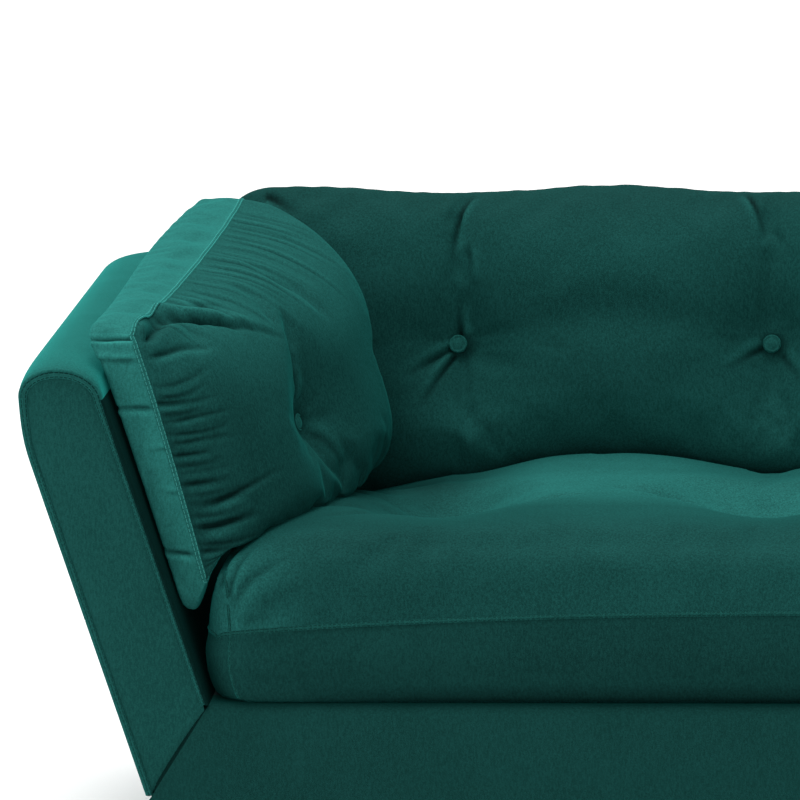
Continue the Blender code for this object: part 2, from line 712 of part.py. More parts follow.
def back_place(x, height, share):
    """The crowned face for share 1, and the edge that rounds back to the flat rear face."""
    share_x = x / BACK_HALF
    share_up = height / BACK_HEIGHT
    inset = BACK_REAR_INSET * (1 - math.sqrt(1 - (1 - share) ** 2))
    half_x = BACK_HALF + BACK_END_FLARE * height - inset - BACK_DRAW_IN * 4 * share_up * (1 - share_up)
    wave = BACK_WAVE * 0.5 * (1 - np.cos(2 * math.pi * x / TUFT_PITCH))
    up = inset + share_up * (BACK_HEIGHT - wave - 2 * inset)
    off = back_depth(x, height) if share == 1.0 else np.full_like(x, BACK_SEAM * share)
    off = off + CUSHION_GAP + BACK_REAR_TAPER * height
    foot = np.array((0.0, back_inner_y(BACK_FOOT_Z), BACK_FOOT_Z))
    across = np.outer(share_x * half_x, (1.0, 0.0, 0.0))
    return foot + across + np.outer(up, LEAN_UP) + np.outer(off, LEAN_OUT)


def back_cushion(material):
    across = tuft_lines(-BACK_HALF, BACK_HALF, TUFT_XS, (0.012, 0.050, 0.120))
    along = tuft_lines(0.0, BACK_HEIGHT, [BACK_TUFT_HEIGHT], (0.010, 0.040, 0.090))
    pillow("back_cushion", across, along, (0.6, 0.25, 0.0), back_place, material)


ARM_TUFT_ALONG = ARM_TUFT_SETBACK - ARM_CUSHION_SETBACK
BACK_FACE_OFF = CUSHION_GAP + BACK_REAR_TAPER * BACK_HEIGHT + BACK_SEAM + BACK_CROWN


def arm_rear_y(z):
    """The arm cushion stops at a plane just in front of the back cushion."""
    return back_inner_y(z) - (BACK_FACE_OFF + ARM_CUSHION_CLEARANCE) / math.cos(LEAN)


def arm_heights(along):
    """Lower and upper edge of the arm cushion at a share of its length: the top climbs towards the back."""
    foot = SEAT_SEAM_Z + SEAT_CROWN - ARM_FOOT_DROP + ARM_FOOT_RISE * along
    top = SHOULDER_Z + ARCH_RISE + ARM_TOP_OVER_ARM + ARM_TOP_RISE * along
    return foot, top


def arm_crown(along, up):
    """Swell of the inner face above its seam: slow from the front, steep at the rear, with one tuft."""
    length, height = arm_cushion_size()
    top_roll = ARM_ROLL_TOP_FRONT + (ARM_ROLL_TOP_REAR - ARM_ROLL_TOP_FRONT) * along
    ends = rolled_edge(along * length, ARM_ROLL_FRONT) * rolled_edge((1 - along) * length, ARM_ROLL_REAR)
    edges = rolled_edge(up * height, ARM_ROLL_FOOT) * rolled_edge((1 - up) * height, top_roll)
    away = np.hypot(along * length - ARM_TUFT_ALONG, (up - ARM_TUFT_SHARE) * height)
    return ends * edges * (ARM_CROWN - tuft_dip(away, ARM_TUFT_DEPTH, ARM_TUFT_SPREAD))


def arm_place(along, up, share):
    """The crowned inner face for share 1, and the boxing back to the flat face that leans on the arm."""
    bow_in = ARM_DRAW_IN * (1 - (2 * up - 1) ** 2)
    foot, top = arm_heights(along)
    z = foot + up * (top - foot - ARM_DRAW_IN * 4 * along * (1 - along))
    front = FRONT_Y + ARM_CUSHION_SETBACK + bow_in
    rear = arm_rear_y(z) - bow_in
    y = front + along * (rear - front)
    off = CUSHION_GAP / math.cos(LEAN) + ARM_LEAN_OFF * up + ARM_TURN_OFF * along
    off = off + (ARM_BOXING_FOOT + (ARM_BOXING_TOP - ARM_BOXING_FOOT) * up) * share
    if share == 1.0:
        off = off + arm_crown(along, up)
    x = arm_inner_x(z) - off
    under_x = np.clip(x - ARM_SEAT_MARGIN, 0, SEAT_HALF)
    floor_z = seat_top(under_x, np.clip(y, SEAT_FRONT, SEAT_REAR)) + ARM_SEAT_CLEARANCE
    z = np.where(x < SEAT_HALF + ARM_SEAT_MARGIN, np.maximum(z, floor_z), z)
    return np.column_stack([x, y, z])


def arm_cushion_size():
    """Length and height of the arm cushion half way along it."""
    foot, top = arm_heights(0.5)
    return arm_rear_y((foot + top) / 2) - FRONT_Y - ARM_CUSHION_SETBACK, top - foot


def arm_cushion(side_name, side, material):
    length, height = arm_cushion_size()
    across = tuft_lines(0.0, length, [ARM_TUFT_ALONG], (0.010, 0.040, 0.100)) / length
    along = tuft_lines(0.0, height, [ARM_TUFT_SHARE * height], (0.010, 0.040, 0.090)) / height

    def place(u, v, share):
        points = arm_place(u, v, share)
        points[:, 0] *= side
        return points

    pillow("arm_cushion_" + side_name, across, along, (0.5, 0.0), place, material)


def button(name, centre, axis, material):
    """A cloth-covered button: a domed disc that sits in a tuft."""
    axis = np.asarray(axis, float)
    across = np.cross(axis, (0.0, 1.0, 0.0) if abs(axis[1]) < 0.7 else (1.0, 0.0, 0.0))
    across /= np.linalg.norm(across)
    up = np.cross(axis, across)
    rim = BUTTON_HEIGHT * BUTTON_RIM_SHARE
    rings = [(BUTTON_GAP, BUTTON_RADIUS * BUTTON_BASE_SHARE), (rim, BUTTON_RADIUS)]
    for turn in np.radians((35, 65, 82)):
        rings.append((rim + (BUTTON_HEIGHT - rim) * math.sin(turn), BUTTON_RADIUS * math.cos(turn)))
    loft(name, disc_loops(centre, across, up, axis, rings, 16), material)


def tuft_seat(place, u, v, half_u, half_v, outward):
    """Centre and outward axis of the small flat at the bottom of a tuft, from its four corners."""
    corners = place(
        np.array([u - half_u, u + half_u, u + half_u, u - half_u]),
        np.array([v - half_v, v - half_v, v + half_v, v + half_v]), 1.0,
    )
    axis = np.cross(corners[2] - corners[0], corners[3] - corners[1])
    axis /= np.linalg.norm(axis)
    return corners.mean(axis=0), axis * np.sign(axis @ np.asarray(outward))


def buttons(material):
    for number, x in enumerate(TUFT_XS, 1):
        centre, axis = tuft_seat(seat_place, x, SEAT_TUFT_Y, TUFT_GRID, TUFT_GRID, (0, 0, 1))
        button("seat_button_" + str(number), centre, axis, material)
        centre, axis = tuft_seat(back_place, x, BACK_TUFT_HEIGHT, TUFT_GRID, TUFT_GRID, LEAN_OUT)
        button("back_button_" + str(number), centre, axis, material)
    length, height = arm_cushion_size()
    for side_name, side in SIDES:
        centre, axis = tuft_seat(
            arm_place, ARM_TUFT_ALONG / length, ARM_TUFT_SHARE, TUFT_GRID / length, TUFT_GRID / height,
            (-1, 0, 0),
        )
        flip = np.array((side, 1, 1))
        button("arm_button_" + side_name, centre * flip, axis * flip, material)


for leftover in list(bpy.data.objects):
    bpy.data.objects.remove(leftover, do_unlink=True)

velvet = finish("green velvet", (0.010, 0.078, 0.068), 0.75)
timber = finish("sawn hardwood", (0.55, 0.38, 0.21), 0.70)
spring_steel = finish("spring steel", (0.35, 0.35, 0.36), 0.35, 1.0)
deck_cloth = finish("deck cloth", (0.10, 0.10, 0.10), 0.90)
dust_cloth = finish("dust cloth", (0.02, 0.02, 0.02), 0.95)
leg_wood = finish("dark stained wood", (0.045, 0.024, 0.013), 0.40)
glide_plastic = finish("glide plastic", (0.03, 0.03, 0.03), 0.50)

seat_frame(timber)
for corner, side, end, x, y in leg_places():
    corner_block(corner, side, end, x, y, timber)
    leg(corner, x, y, leg_wood, glide_plastic)
arm_and_back_timbers(timber)
for number in range(1, SPRING_COUNT + 1):
    spring(number, (number - (SPRING_COUNT + 1) / 2) * SPRING_PITCH, spring_steel)
seat_deck(deck_cloth)
dust_cover(dust_cloth)
front_rail_panel(velvet)
back_cover(velvet)
for side_name, side in SIDES:
    arm_cover(side_name, side, velvet)
    arm_front_panel(side_name, side, velvet)
    arm_cushion(side_name, side, velvet)
seat_cushion(velvet)
back_cushion(velvet)
buttons(velvet)
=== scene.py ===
"""Dark green velvet sofa in a white studio: padded wraps, tufted cushions, covered buttons, turned legs."""

import json
import math

import bmesh
import bpy
import numpy as np
from mathutils import Matrix, Vector

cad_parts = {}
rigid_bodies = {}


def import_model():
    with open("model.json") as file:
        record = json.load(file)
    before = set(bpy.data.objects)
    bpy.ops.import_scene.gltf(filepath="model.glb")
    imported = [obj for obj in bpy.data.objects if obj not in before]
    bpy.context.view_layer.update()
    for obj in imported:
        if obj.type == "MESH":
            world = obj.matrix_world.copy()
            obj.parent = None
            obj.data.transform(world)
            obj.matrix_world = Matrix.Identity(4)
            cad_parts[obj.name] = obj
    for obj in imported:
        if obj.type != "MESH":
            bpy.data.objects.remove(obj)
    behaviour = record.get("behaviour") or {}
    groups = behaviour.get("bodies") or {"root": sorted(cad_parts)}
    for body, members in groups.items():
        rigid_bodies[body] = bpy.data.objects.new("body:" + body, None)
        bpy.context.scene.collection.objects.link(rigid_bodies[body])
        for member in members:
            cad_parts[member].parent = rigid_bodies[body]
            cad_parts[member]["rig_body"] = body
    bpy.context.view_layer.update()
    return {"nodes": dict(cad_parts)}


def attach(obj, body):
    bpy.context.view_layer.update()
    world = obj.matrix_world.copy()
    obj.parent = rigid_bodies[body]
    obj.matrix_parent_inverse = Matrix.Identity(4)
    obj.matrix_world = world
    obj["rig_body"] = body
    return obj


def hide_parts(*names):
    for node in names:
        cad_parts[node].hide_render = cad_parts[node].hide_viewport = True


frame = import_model()

# Studio. A camera far in front of the middle of the sofa, turned to its left half, as the photograph
# was cropped. A soft lamp high above and a little behind lights the tops, and a pale floor the fronts.
EYE = np.array((0.0, -8.245, 1.930))
PITCH = math.radians(10.378)
FOCAL_PIXELS = 6688.3
CROP_FROM_AXIS = np.array((-528.0, 83.2))
PHOTO_PIXELS = 800
SENSOR = 36.0

forward = np.array((0.0, math.cos(PITCH), -math.sin(PITCH)))
upward = np.array((0.0, math.sin(PITCH), math.cos(PITCH)))
aim = FOCAL_PIXELS * forward + CROP_FROM_AXIS[0] * np.array((1.0, 0.0, 0.0)) + CROP_FROM_AXIS[1] * upward
reach = np.linalg.norm(aim)
aim = Vector(aim / reach)
right = (Vector((1.0, 0.0, 0.0)) - aim * aim.x).normalized()
turned = Matrix((right, right.cross(aim), -aim)).transposed()
camera = bpy.data.objects.new("camera", bpy.data.cameras.new("camera"))
camera.matrix_world = Matrix.Translation(EYE) @ turned.to_4x4()
camera.data.sensor_width = SENSOR
camera.data.lens = reach / PHOTO_PIXELS * SENSOR
camera.data.clip_end = 200.0
bpy.context.scene.collection.objects.link(camera)
bpy.context.scene.camera = camera
bpy.context.scene.view_settings.view_transform = "Standard"

lamp = bpy.data.objects.new("overhead lamp", bpy.data.lights.new("overhead lamp", "SUN"))
lamp.data.energy = 3.7
lamp.data.angle = math.radians(46)
lamp.rotation_euler = (math.radians(-14), math.radians(-8), 0.0)
bpy.context.scene.collection.objects.link(lamp)
fill = bpy.data.objects.new("front fill", bpy.data.lights.new("front fill", "SUN"))
fill.data.energy = 0.70
fill.data.angle = math.radians(90)
fill.rotation_euler = (math.radians(72), 0.0, math.radians(-25))
bpy.context.scene.collection.objects.link(fill)
world = bpy.data.worlds.new("studio")
world.use_nodes = True
world.node_tree.nodes["Background"].inputs["Color"].default_value = (1.0, 1.0, 1.0, 1.0)
world.node_tree.nodes["Background"].inputs["Strength"].default_value = 0.42
bpy.context.scene.world = world

FLOOR_HALF = 60.0
floor_mesh = bpy.data.meshes.new("floor")
floor_corners = [(x * FLOOR_HALF, y * FLOOR_HALF, 0.0) for x, y in ((-1, -1), (1, -1), (1, 1), (-1, 1))]
floor_mesh.from_pydata(floor_corners, [], [(0, 1, 2, 3)])
floor_paper = bpy.data.materials.new("floor paper")
floor_paper.use_nodes = True
floor_paper.node_tree.nodes["Principled BSDF"].inputs["Base Color"].default_value = (0.82, 0.82, 0.82, 1.0)
floor_paper.node_tree.nodes["Principled BSDF"].inputs["Roughness"].default_value = 1.0
floor_paper.node_tree.nodes["Principled BSDF"].inputs["Specular IOR Level"].default_value = 0.0
floor_mesh.materials.append(floor_paper)
floor = bpy.data.objects.new("floor", floor_mesh)
bpy.context.scene.collection.objects.link(floor)

# Arm wraps. Velvet over wadding, pulled over each leaning arm from its outer foot, over the arched top
# and down to the deck, stapled under the rails, and sewn to the back wrap on a mitre at the rear corner.
SIDES = ((-1, "left"), (1, "right"))
SHOULDER_Z = 0.6016
BASE_Z = 0.120
DECK_Z = 0.231
LEAN = math.radians(17.9)
SLOPE = math.tan(LEAN)
HALF_WIDTH = 1.080
FRONT_Y = -0.445
REAR_Y = 0.445
SLAB = 0.1005
ARCH_RISE = 0.036
ARCH_SHEAR = 0.11
CORNER_OUTER = 0.100
CORNER_INNER = 0.002
WALL_FULLNESS = 0.0125
WALL_FULL_BELOW = 0.075
TOP_SWELL_FRONT = 0.011
TOP_SWELL_REAR = 0.019
TOP_SWELL_RUN = 0.032
TOP_SWELL_BELOW = 0.12
OUTER_SHARE = 0.02
TUCK = 0.016
HEM_LIFT = 0.0006
FRONT_ROLL = 0.003
FRONT_EDGE = ((0.0075, 0.0070), (0.0040, 0.0022), (0.0012, 0.0008))


def velvet(name, dark, light, sheen, brushed=(2.2, 7.0, 3.0), mottling=0.20):
    """Cut-pile cloth: two tones mixed by broad brush marks, thin streaks and fine grain, with the pile in
    the bump. An attribute holds painted shade and painted light, by which the colour is darker at 1, in
    creases and shaded places, plain at 0, and lighter at -1, where light falls."""
    cloth = bpy.data.materials.new(name)
    cloth.use_nodes = True
    nodes = cloth.node_tree.nodes
    links = cloth.node_tree.links
    shader = nodes["Principled BSDF"]
    shader.inputs["Roughness"].default_value = 0.80
    shader.inputs["Specular IOR Level"].default_value = 0.015
    shader.inputs["Sheen Weight"].default_value = sheen
    shader.inputs["Sheen Roughness"].default_value = 0.38
    shader.inputs["Sheen Tint"].default_value = (0.025, 0.62, 0.55, 1.0)
    place = nodes.new("ShaderNodeTexCoord")
    brush = nodes.new("ShaderNodeMapping")
    brush.inputs["Scale"].default_value = brushed
    brush.inputs["Rotation"].default_value = (0.3, 0.5, 0.2)
    links.new(place.outputs["Object"], brush.inputs["Vector"])
    marks = nodes.new("ShaderNodeTexNoise")
    marks.inputs["Scale"].default_value = 2.6
    marks.inputs["Detail"].default_value = 6.0
    marks.inputs["Roughness"].default_value = 0.62
    marks.inputs["Distortion"].default_value = 0.9
    links.new(brush.outputs["Vector"], marks.inputs["Vector"])
    combed = nodes.new("ShaderNodeMapping")
    combed.inputs["Rotation"].default_value = (0.5, 0.9, 0.35)
    combed.inputs["Scale"].default_value = (420.0, 420.0, 150.0)
    links.new(place.outputs["Object"], combed.inputs["Vector"])
    streaks = nodes.new("ShaderNodeTexNoise")
    streaks.inputs["Scale"].default_value = 1.0
    streaks.inputs["Detail"].default_value = 3.0
    links.new(combed.outputs["Vector"], streaks.inputs["Vector"])
    pile = nodes.new("ShaderNodeTexNoise")
    pile.inputs["Scale"].default_value = 560.0
    pile.inputs["Detail"].default_value = 2.0
    links.new(place.outputs["Object"], pile.inputs["Vector"])
    fine = nodes.new("ShaderNodeMix")
    fine.data_type = "FLOAT"
    fine.inputs["Factor"].default_value = 0.50
    links.new(streaks.outputs["Fac"], fine.inputs["A"])
    links.new(pile.outputs["Fac"], fine.inputs["B"])
    both = nodes.new("ShaderNodeMix")
    both.data_type = "FLOAT"
    both.inputs["Factor"].default_value = 0.80
    links.new(marks.outputs["Fac"], both.inputs["A"])
    links.new(fine.outputs["Result"], both.inputs["B"])
    tones = nodes.new("ShaderNodeValToRGB")
    tones.color_ramp.elements[0].position = 0.5 - mottling / 2
    tones.color_ramp.elements[0].color = (*dark, 1.0)
    tones.color_ramp.elements[1].position = 0.5 + mottling / 2
    tones.color_ramp.elements[1].color = (*light, 1.0)
    links.new(both.outputs["Result"], tones.inputs["Fac"])
    # Painted shade and light: the colour scaled from 1.8 times at -1 of the attribute to 0.2 times at 1.
    painted_shading = nodes.new("ShaderNodeAttribute")
    painted_shading.attribute_name = "painted_shading"
    shading_scale = nodes.new("ShaderNodeMapRange")
    shading_scale.inputs["From Min"].default_value = -1.0
    shading_scale.inputs["To Min"].default_value = 1.80
    shading_scale.inputs["To Max"].default_value = 0.20
    links.new(painted_shading.outputs["Fac"], shading_scale.inputs["Value"])
    shaded = nodes.new("ShaderNodeVectorMath")
    shaded.operation = "SCALE"
    links.new(tones.outputs["Color"], shaded.inputs["Vector"])
    links.new(shading_scale.outputs["Result"], shaded.inputs["Scale"])
    links.new(shaded.outputs["Vector"], shader.inputs["Base Color"])
    raised = nodes.new("ShaderNodeBump")
    raised.inputs["Strength"].default_value = 0.35
    raised.inputs["Distance"].default_value = 0.0006
    links.new(pile.outputs["Fac"], raised.inputs["Height"])
    links.new(raised.outputs["Normal"], shader.inputs["Normal"])
    return cloth


# A lighter copy of the velvet: painted light on the wraps' lit tops.
lit_wrap_velvet = velvet("wrap painted light velvet", (0.0094, 0.077, 0.068), (0.0158, 0.127, 0.113), 0.58)
# A near-black copy of the velvet: painted shade for the arms' inner walls under the cushions and the rail's
# laps, where the gaps lie in shadow.
painted_gap_shade_velvet = velvet("inner wall painted shade velvet", (0.0018, 0.014, 0.012), (0.0030, 0.022, 0.020), 0.02)


def strip_quads(rows, columns, wrap=False):
    """Quads between neighbours of a grid of points, row by row, and from the last column round to the first
    if it wraps."""
    index = np.arange(rows * columns).reshape(rows, columns)
    if wrap:
        index = np.column_stack([index, index[:, 0]])
    corners = (index[:-1, :-1], index[:-1, 1:], index[1:, 1:], index[1:, :-1])
    return np.stack(corners, axis=-1).reshape(-1, 4)


def cloth_mesh(name, points, quads, material, inside):
    """A smooth mesh from an array of points and quads, with its faces turned away from a point inside it."""
    mesh = bpy.data.meshes.new(name)
    mesh.from_pydata(points.reshape(-1, 3).tolist(), [], quads.tolist())
    corners = points.reshape(-1, 3)[quads]
    normals = np.cross(corners[:, 2] - corners[:, 0], corners[:, 3] - corners[:, 1])
    if (normals * (corners.mean(axis=1) - np.asarray(inside))).sum() < 0:
        mesh.flip_normals()
    mesh.shade_smooth()
    mesh.materials.append(material)
    piece = bpy.data.objects.new(name, mesh)
    bpy.context.scene.collection.objects.link(piece)
    return piece


def ramp(value, start, run):
    """0 up to the start, 1 from a run further on, and a straight line between; a run below 0 leads back."""
    return np.clip((value - start) / run, 0, 1)


def bell(value, width):
    """A bell curve, 1 in the middle and about a third of it at the width."""
    return np.exp(-((value / width) ** 2))


def wall_fullness(z):
    """How far the wadding pushes the outer wall out: a quarter sine, from nothing at the shoulder to full a
    hand's width below it."""
    return WALL_FULLNESS * np.sin(ramp(z, SHOULDER_Z, -WALL_FULL_BELOW) * math.pi / 2)


def swell_top(rows, section):
    """Lifts the arched top and the outer shoulder of a wrap: by the root of the height in them, settling in
    behind the front edge, and more towards the rear, where the wadding is thickest."""
    behind = np.clip(1 - np.exp(-(rows[..., 1] - FRONT_Y) / TOP_SWELL_RUN), 0, 1)
    low = np.where(section[2] > OUTER_SHARE, SHOULDER_Z - TOP_SWELL_BELOW, SHOULDER_Z)
    arched = np.sqrt(ramp(rows[..., 2], low, SHOULDER_Z + ARCH_RISE - low))
    depth = ramp(rows[..., 1], FRONT_Y, REAR_Y - FRONT_Y)
    swell = TOP_SWELL_FRONT + (TOP_SWELL_REAR - TOP_SWELL_FRONT) * depth
    rows[..., 2] += swell * arched * behind


def slab_section(inset=0.0, steps_leg=44, steps_arch=36):
    """Outer foot to inner foot as columns of offset, height and share across: a leaning line with its
    fullness, half a sheared ellipse over the top, and a leaning line down, all drawn in by the inset."""
    level = inset * math.sqrt(1 + SLOPE**2)
    climb = np.linspace(0, 1, steps_leg, endpoint=False)
    outer_z = BASE_Z + climb * (SHOULDER_Z - BASE_Z)
    outer = (outer_z - SHOULDER_Z) * SLOPE + wall_fullness(outer_z) - level
    turn = np.linspace(0, math.pi, steps_arch)
    lift = (ARCH_RISE - inset) * np.sin(turn)
    arch = -SLAB / 2 + (SLAB / 2 - level) * np.cos(turn) + ARCH_SHEAR * lift
    fall = np.linspace(0, 1, steps_leg + 1)[1:]
    inner_z = SHOULDER_Z - fall * (SHOULDER_Z - DECK_Z)
    inner = (inner_z - SHOULDER_Z) * SLOPE - SLAB + level
    offset = np.concatenate([[outer[0] - TUCK], outer, arch, inner])
    height = np.concatenate([[BASE_Z + HEM_LIFT], outer_z, SHOULDER_Z + lift, inner_z])
    share = np.concatenate([[1.0], np.ones(steps_leg), 0.5 + 0.5 * np.cos(turn), np.zeros(steps_leg)])
    return offset, height, share


def carried_section(turns, section):
    """The section carried round a rear corner: each point turns about its own centre, on a radius that grows
    from the inner to the outer wall."""
    offset, height, share = section
    radius = CORNER_INNER + (CORNER_OUTER - CORNER_INNER) * share
    x = HALF_WIDTH + offset - radius + np.cos(turns)[:, None] * radius
    y = REAR_Y + offset - radius + np.sin(turns)[:, None] * radius
    return np.stack([x, y, np.broadcast_to(height, x.shape)], axis=-1)


def arm_wrap(side, side_name):
    """Sections rolled in at the front edge, straight back, then round to the mitre, with the top swollen."""
    section = slab_section()
    corner = carried_section(np.radians(np.linspace(0, 45, 14)), section)
    edge = []
    for inset, back in FRONT_EDGE:
        offset, height, _ = slab_section(inset)
        edge.append(np.stack([HALF_WIDTH + offset, np.full_like(offset, FRONT_Y + back), height], axis=-1))
    straight = np.linspace(0, 1, 60, endpoint=False)[:, None, None]
    front = corner[0] * np.array((1.0, 0.0, 1.0)) + np.array((0.0, FRONT_Y + FRONT_ROLL, 0.0))
    rows = np.concatenate([np.array(edge), front + straight * (corner[0] - front), corner])
    swell_top(rows, section)
    rows[..., 0] *= side
    quads = strip_quads(*rows.shape[:2])
    piece = cloth_mesh("arm_wrap_" + side_name, rows, quads, lit_wrap_velvet, (side * 0.90, 0.0, 0.35))
    # The inner wall below the shoulder takes the near-black velvet: painted shade in the gap under the arm
    # cushion.
    piece.data.materials.append(painted_gap_shade_velvet)
    inner = (section[2][1:] == 0) & (section[1][1:] < SHOULDER_Z)
    piece.data.polygons.foreach_set("material_index", np.tile(inner, len(rows) - 1).astype(np.int32))
    return piece


for side, side_name in SIDES:
    wrap = arm_wrap(side, side_name)
    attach(wrap, "frame")
    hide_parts("arm_cover_" + side_name)

# Back wrap. The same velvet over wadding on the leaning back, in one length from mitre to mitre,
# stapled under the rear rail, with the plain outside back showing its full height.


def back_wrap():
    """Sections round the right corner from its mitre, along the back, and round the left corner."""
    section = slab_section()
    corner = carried_section(np.radians(np.linspace(45, 90, 14)), section)
    far = corner[::-1] * np.array((-1.0, 1.0, 1.0))
    across = np.linspace(0, 1, 80)[1:-1, None, None]
    middle = corner[-1][None] + across * (far[0] - corner[-1])[None]
    rows = np.concatenate([corner, middle, far])
    swell_top(rows, section)
    return cloth_mesh("back_wrap", rows, strip_quads(*rows.shape[:2]), lit_wrap_velvet, (0.0, 0.30, 0.35))


wrap = back_wrap()
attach(wrap, "frame")
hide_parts("back_cover")

# Arm front panels. A shaped piece of velvet over thin foam closes the front of each arm, set inside
# the wrap's edge, and sewn to it with a raised double-stitched flange that runs over the arch.
PANEL_INSET = 0.006
PANEL_BACK = 0.006
PANEL_SWELL = 0.006
PANEL_EDGE = 0.030
PANEL_LEAST = 0.0005
PANEL_CROWN_STEEP = 1.2
MITRE_TOE = 0.0069
FLANGE_BACK = 0.0022
FLANGE_WIDTH = 0.0055
FLANGE_HEIGHT = 0.0014
FLANGE_WIDER_ON_TOP = 0.0035
FLANGE_HIGHER_ON_TOP = 0.0026
FLANGE_TOP_RUN = 0.06
FLANGE_FACING = np.array((0.0, -1.0, 0.12))
panel_velvet = velvet("panel velvet", (0.0069, 0.053, 0.047), (0.0111, 0.081, 0.072), 0.36, (3.0, 2.0, 1.2))


def rolled_edge(distance, roll):
    """Rise of a padded panel from its seam: a quarter ellipse over the width of the roll, then level."""
    return np.sqrt(1 - (1 - np.clip(distance / roll, 0, 1)) ** 2)


def mitre_x(z):
    """The slanted seam between arm panel and rail panel, straight from the deck's corner to the toe."""
    head = HALF_WIDTH + (DECK_Z - SHOULDER_Z) * SLOPE - SLAB
    toe = HALF_WIDTH + (BASE_Z - SHOULDER_Z) * SLOPE + wall_fullness(BASE_Z) - MITRE_TOE
    return toe + (z - BASE_Z) / (DECK_Z - BASE_Z) * (head - toe)


def panel_edges():
    """Matching points up the outer and the inner edge: level with each other on the legs of the panel, and
    mirrored about the crown of the arch above."""
    z = np.concatenate([np.linspace(BASE_Z, DECK_Z, 16), np.linspace(DECK_Z, SHOULDER_Z, 44)[1:]])
    inset = PANEL_INSET * math.sqrt(1 + SLOPE**2)
    outer = HALF_WIDTH + (z - SHOULDER_Z) * SLOPE + wall_fullness(z) - inset
    inner = np.where(z < DECK_Z, mitre_x(z), HALF_WIDTH + (z - SHOULDER_Z) * SLOPE - SLAB + inset)
    inner = np.minimum(inner, outer - PANEL_LEAST)
    turn = np.linspace(0, math.pi / 2, 20)[1:]
    lift = (ARCH_RISE - PANEL_INSET) * np.sin(turn)
    reach = (SLAB / 2 - inset) * np.cos(turn)
    middle = HALF_WIDTH - SLAB / 2 + ARCH_SHEAR * lift
    outer = np.concatenate([outer, middle + reach])
    inner = np.concatenate([inner, middle - reach])
    return outer, inner, np.concatenate([z, SHOULDER_Z + lift])


def arm_panel(side, side_name):
    """Straight rows between the matching edge points, swelling forward from a rolled edge all round."""
    outer, inner, z = panel_edges()
    across = (1 - np.cos(np.linspace(0, math.pi, 30))) / 2
    x = outer[:, None] + across * (inner - outer)[:, None]
    width = (outer - inner)[:, None]
    edge = np.minimum(across * width, (1 - across) * width)
    crown = SHOULDER_Z + ARCH_RISE - PANEL_INSET - z
    edge = np.minimum(edge, np.maximum(crown, 0)[:, None] * PANEL_CROWN_STEEP)
    y = FRONT_Y + PANEL_BACK - PANEL_SWELL * rolled_edge(edge, PANEL_EDGE)
    rows = np.stack([side * x, y, np.broadcast_to(z[:, None], x.shape)], axis=-1)
    quads = strip_quads(*rows.shape[:2])
    return cloth_mesh("arm_panel_" + side_name, rows, quads, panel_velvet, (side * 0.98, 0.2, 0.4))


def stitched_velvet(name, dark, light, thread):
    """Velvet with two rows of thread: dashes along the seam near both edges of its ridge, in the thread's
    colour."""
    cloth = velvet(name, dark, light, 0.40)
    nodes = cloth.node_tree.nodes
    links = cloth.node_tree.links
    shader = nodes["Principled BSDF"]
    sewn = nodes.new("ShaderNodeUVMap")
    sewn.uv_map = "sewn"
    split = nodes.new("ShaderNodeSeparateXYZ")
    links.new(sewn.outputs["UV"], split.inputs["Vector"])
    step = nodes.new("ShaderNodeMath")
    step.operation = "PINGPONG"
    step.inputs[1].default_value = 0.0029
    links.new(split.outputs["X"], step.inputs[0])
    dash = nodes.new("ShaderNodeMath")
    dash.operation = "GREATER_THAN"
    dash.inputs[1].default_value = 0.0008
    links.new(step.outputs["Value"], dash.inputs[0])
    halves = nodes.new("ShaderNodeMath")
    halves.operation = "PINGPONG"
    halves.inputs[1].default_value = 0.5
    links.new(split.outputs["Y"], halves.inputs[0])
    row = nodes.new("ShaderNodeMath")
    row.operation = "COMPARE"
    row.inputs[1].default_value = 0.24
    row.inputs[2].default_value = 0.055
    links.new(halves.outputs["Value"], row.inputs[0])
    stitch = nodes.new("ShaderNodeMath")
    stitch.operation = "MULTIPLY"
    links.new(dash.outputs["Value"], stitch.inputs[0])
    links.new(row.outputs["Value"], stitch.inputs[1])
    tint = nodes.new("ShaderNodeMix")
    tint.data_type = "RGBA"
    tint.inputs["B"].default_value = (*thread, 1.0)
    links.new(stitch.outputs["Value"], tint.inputs["Factor"])
    links.new(shader.inputs["Base Color"].links[0].from_socket, tint.inputs["A"])
    links.new(tint.outputs["Result"], shader.inputs["Base Color"])
    return cloth


flange_velvet = stitched_velvet(
    "flange velvet", (0.0080, 0.063, 0.055), (0.0140, 0.105, 0.094), (0.0030, 0.024, 0.021)
)


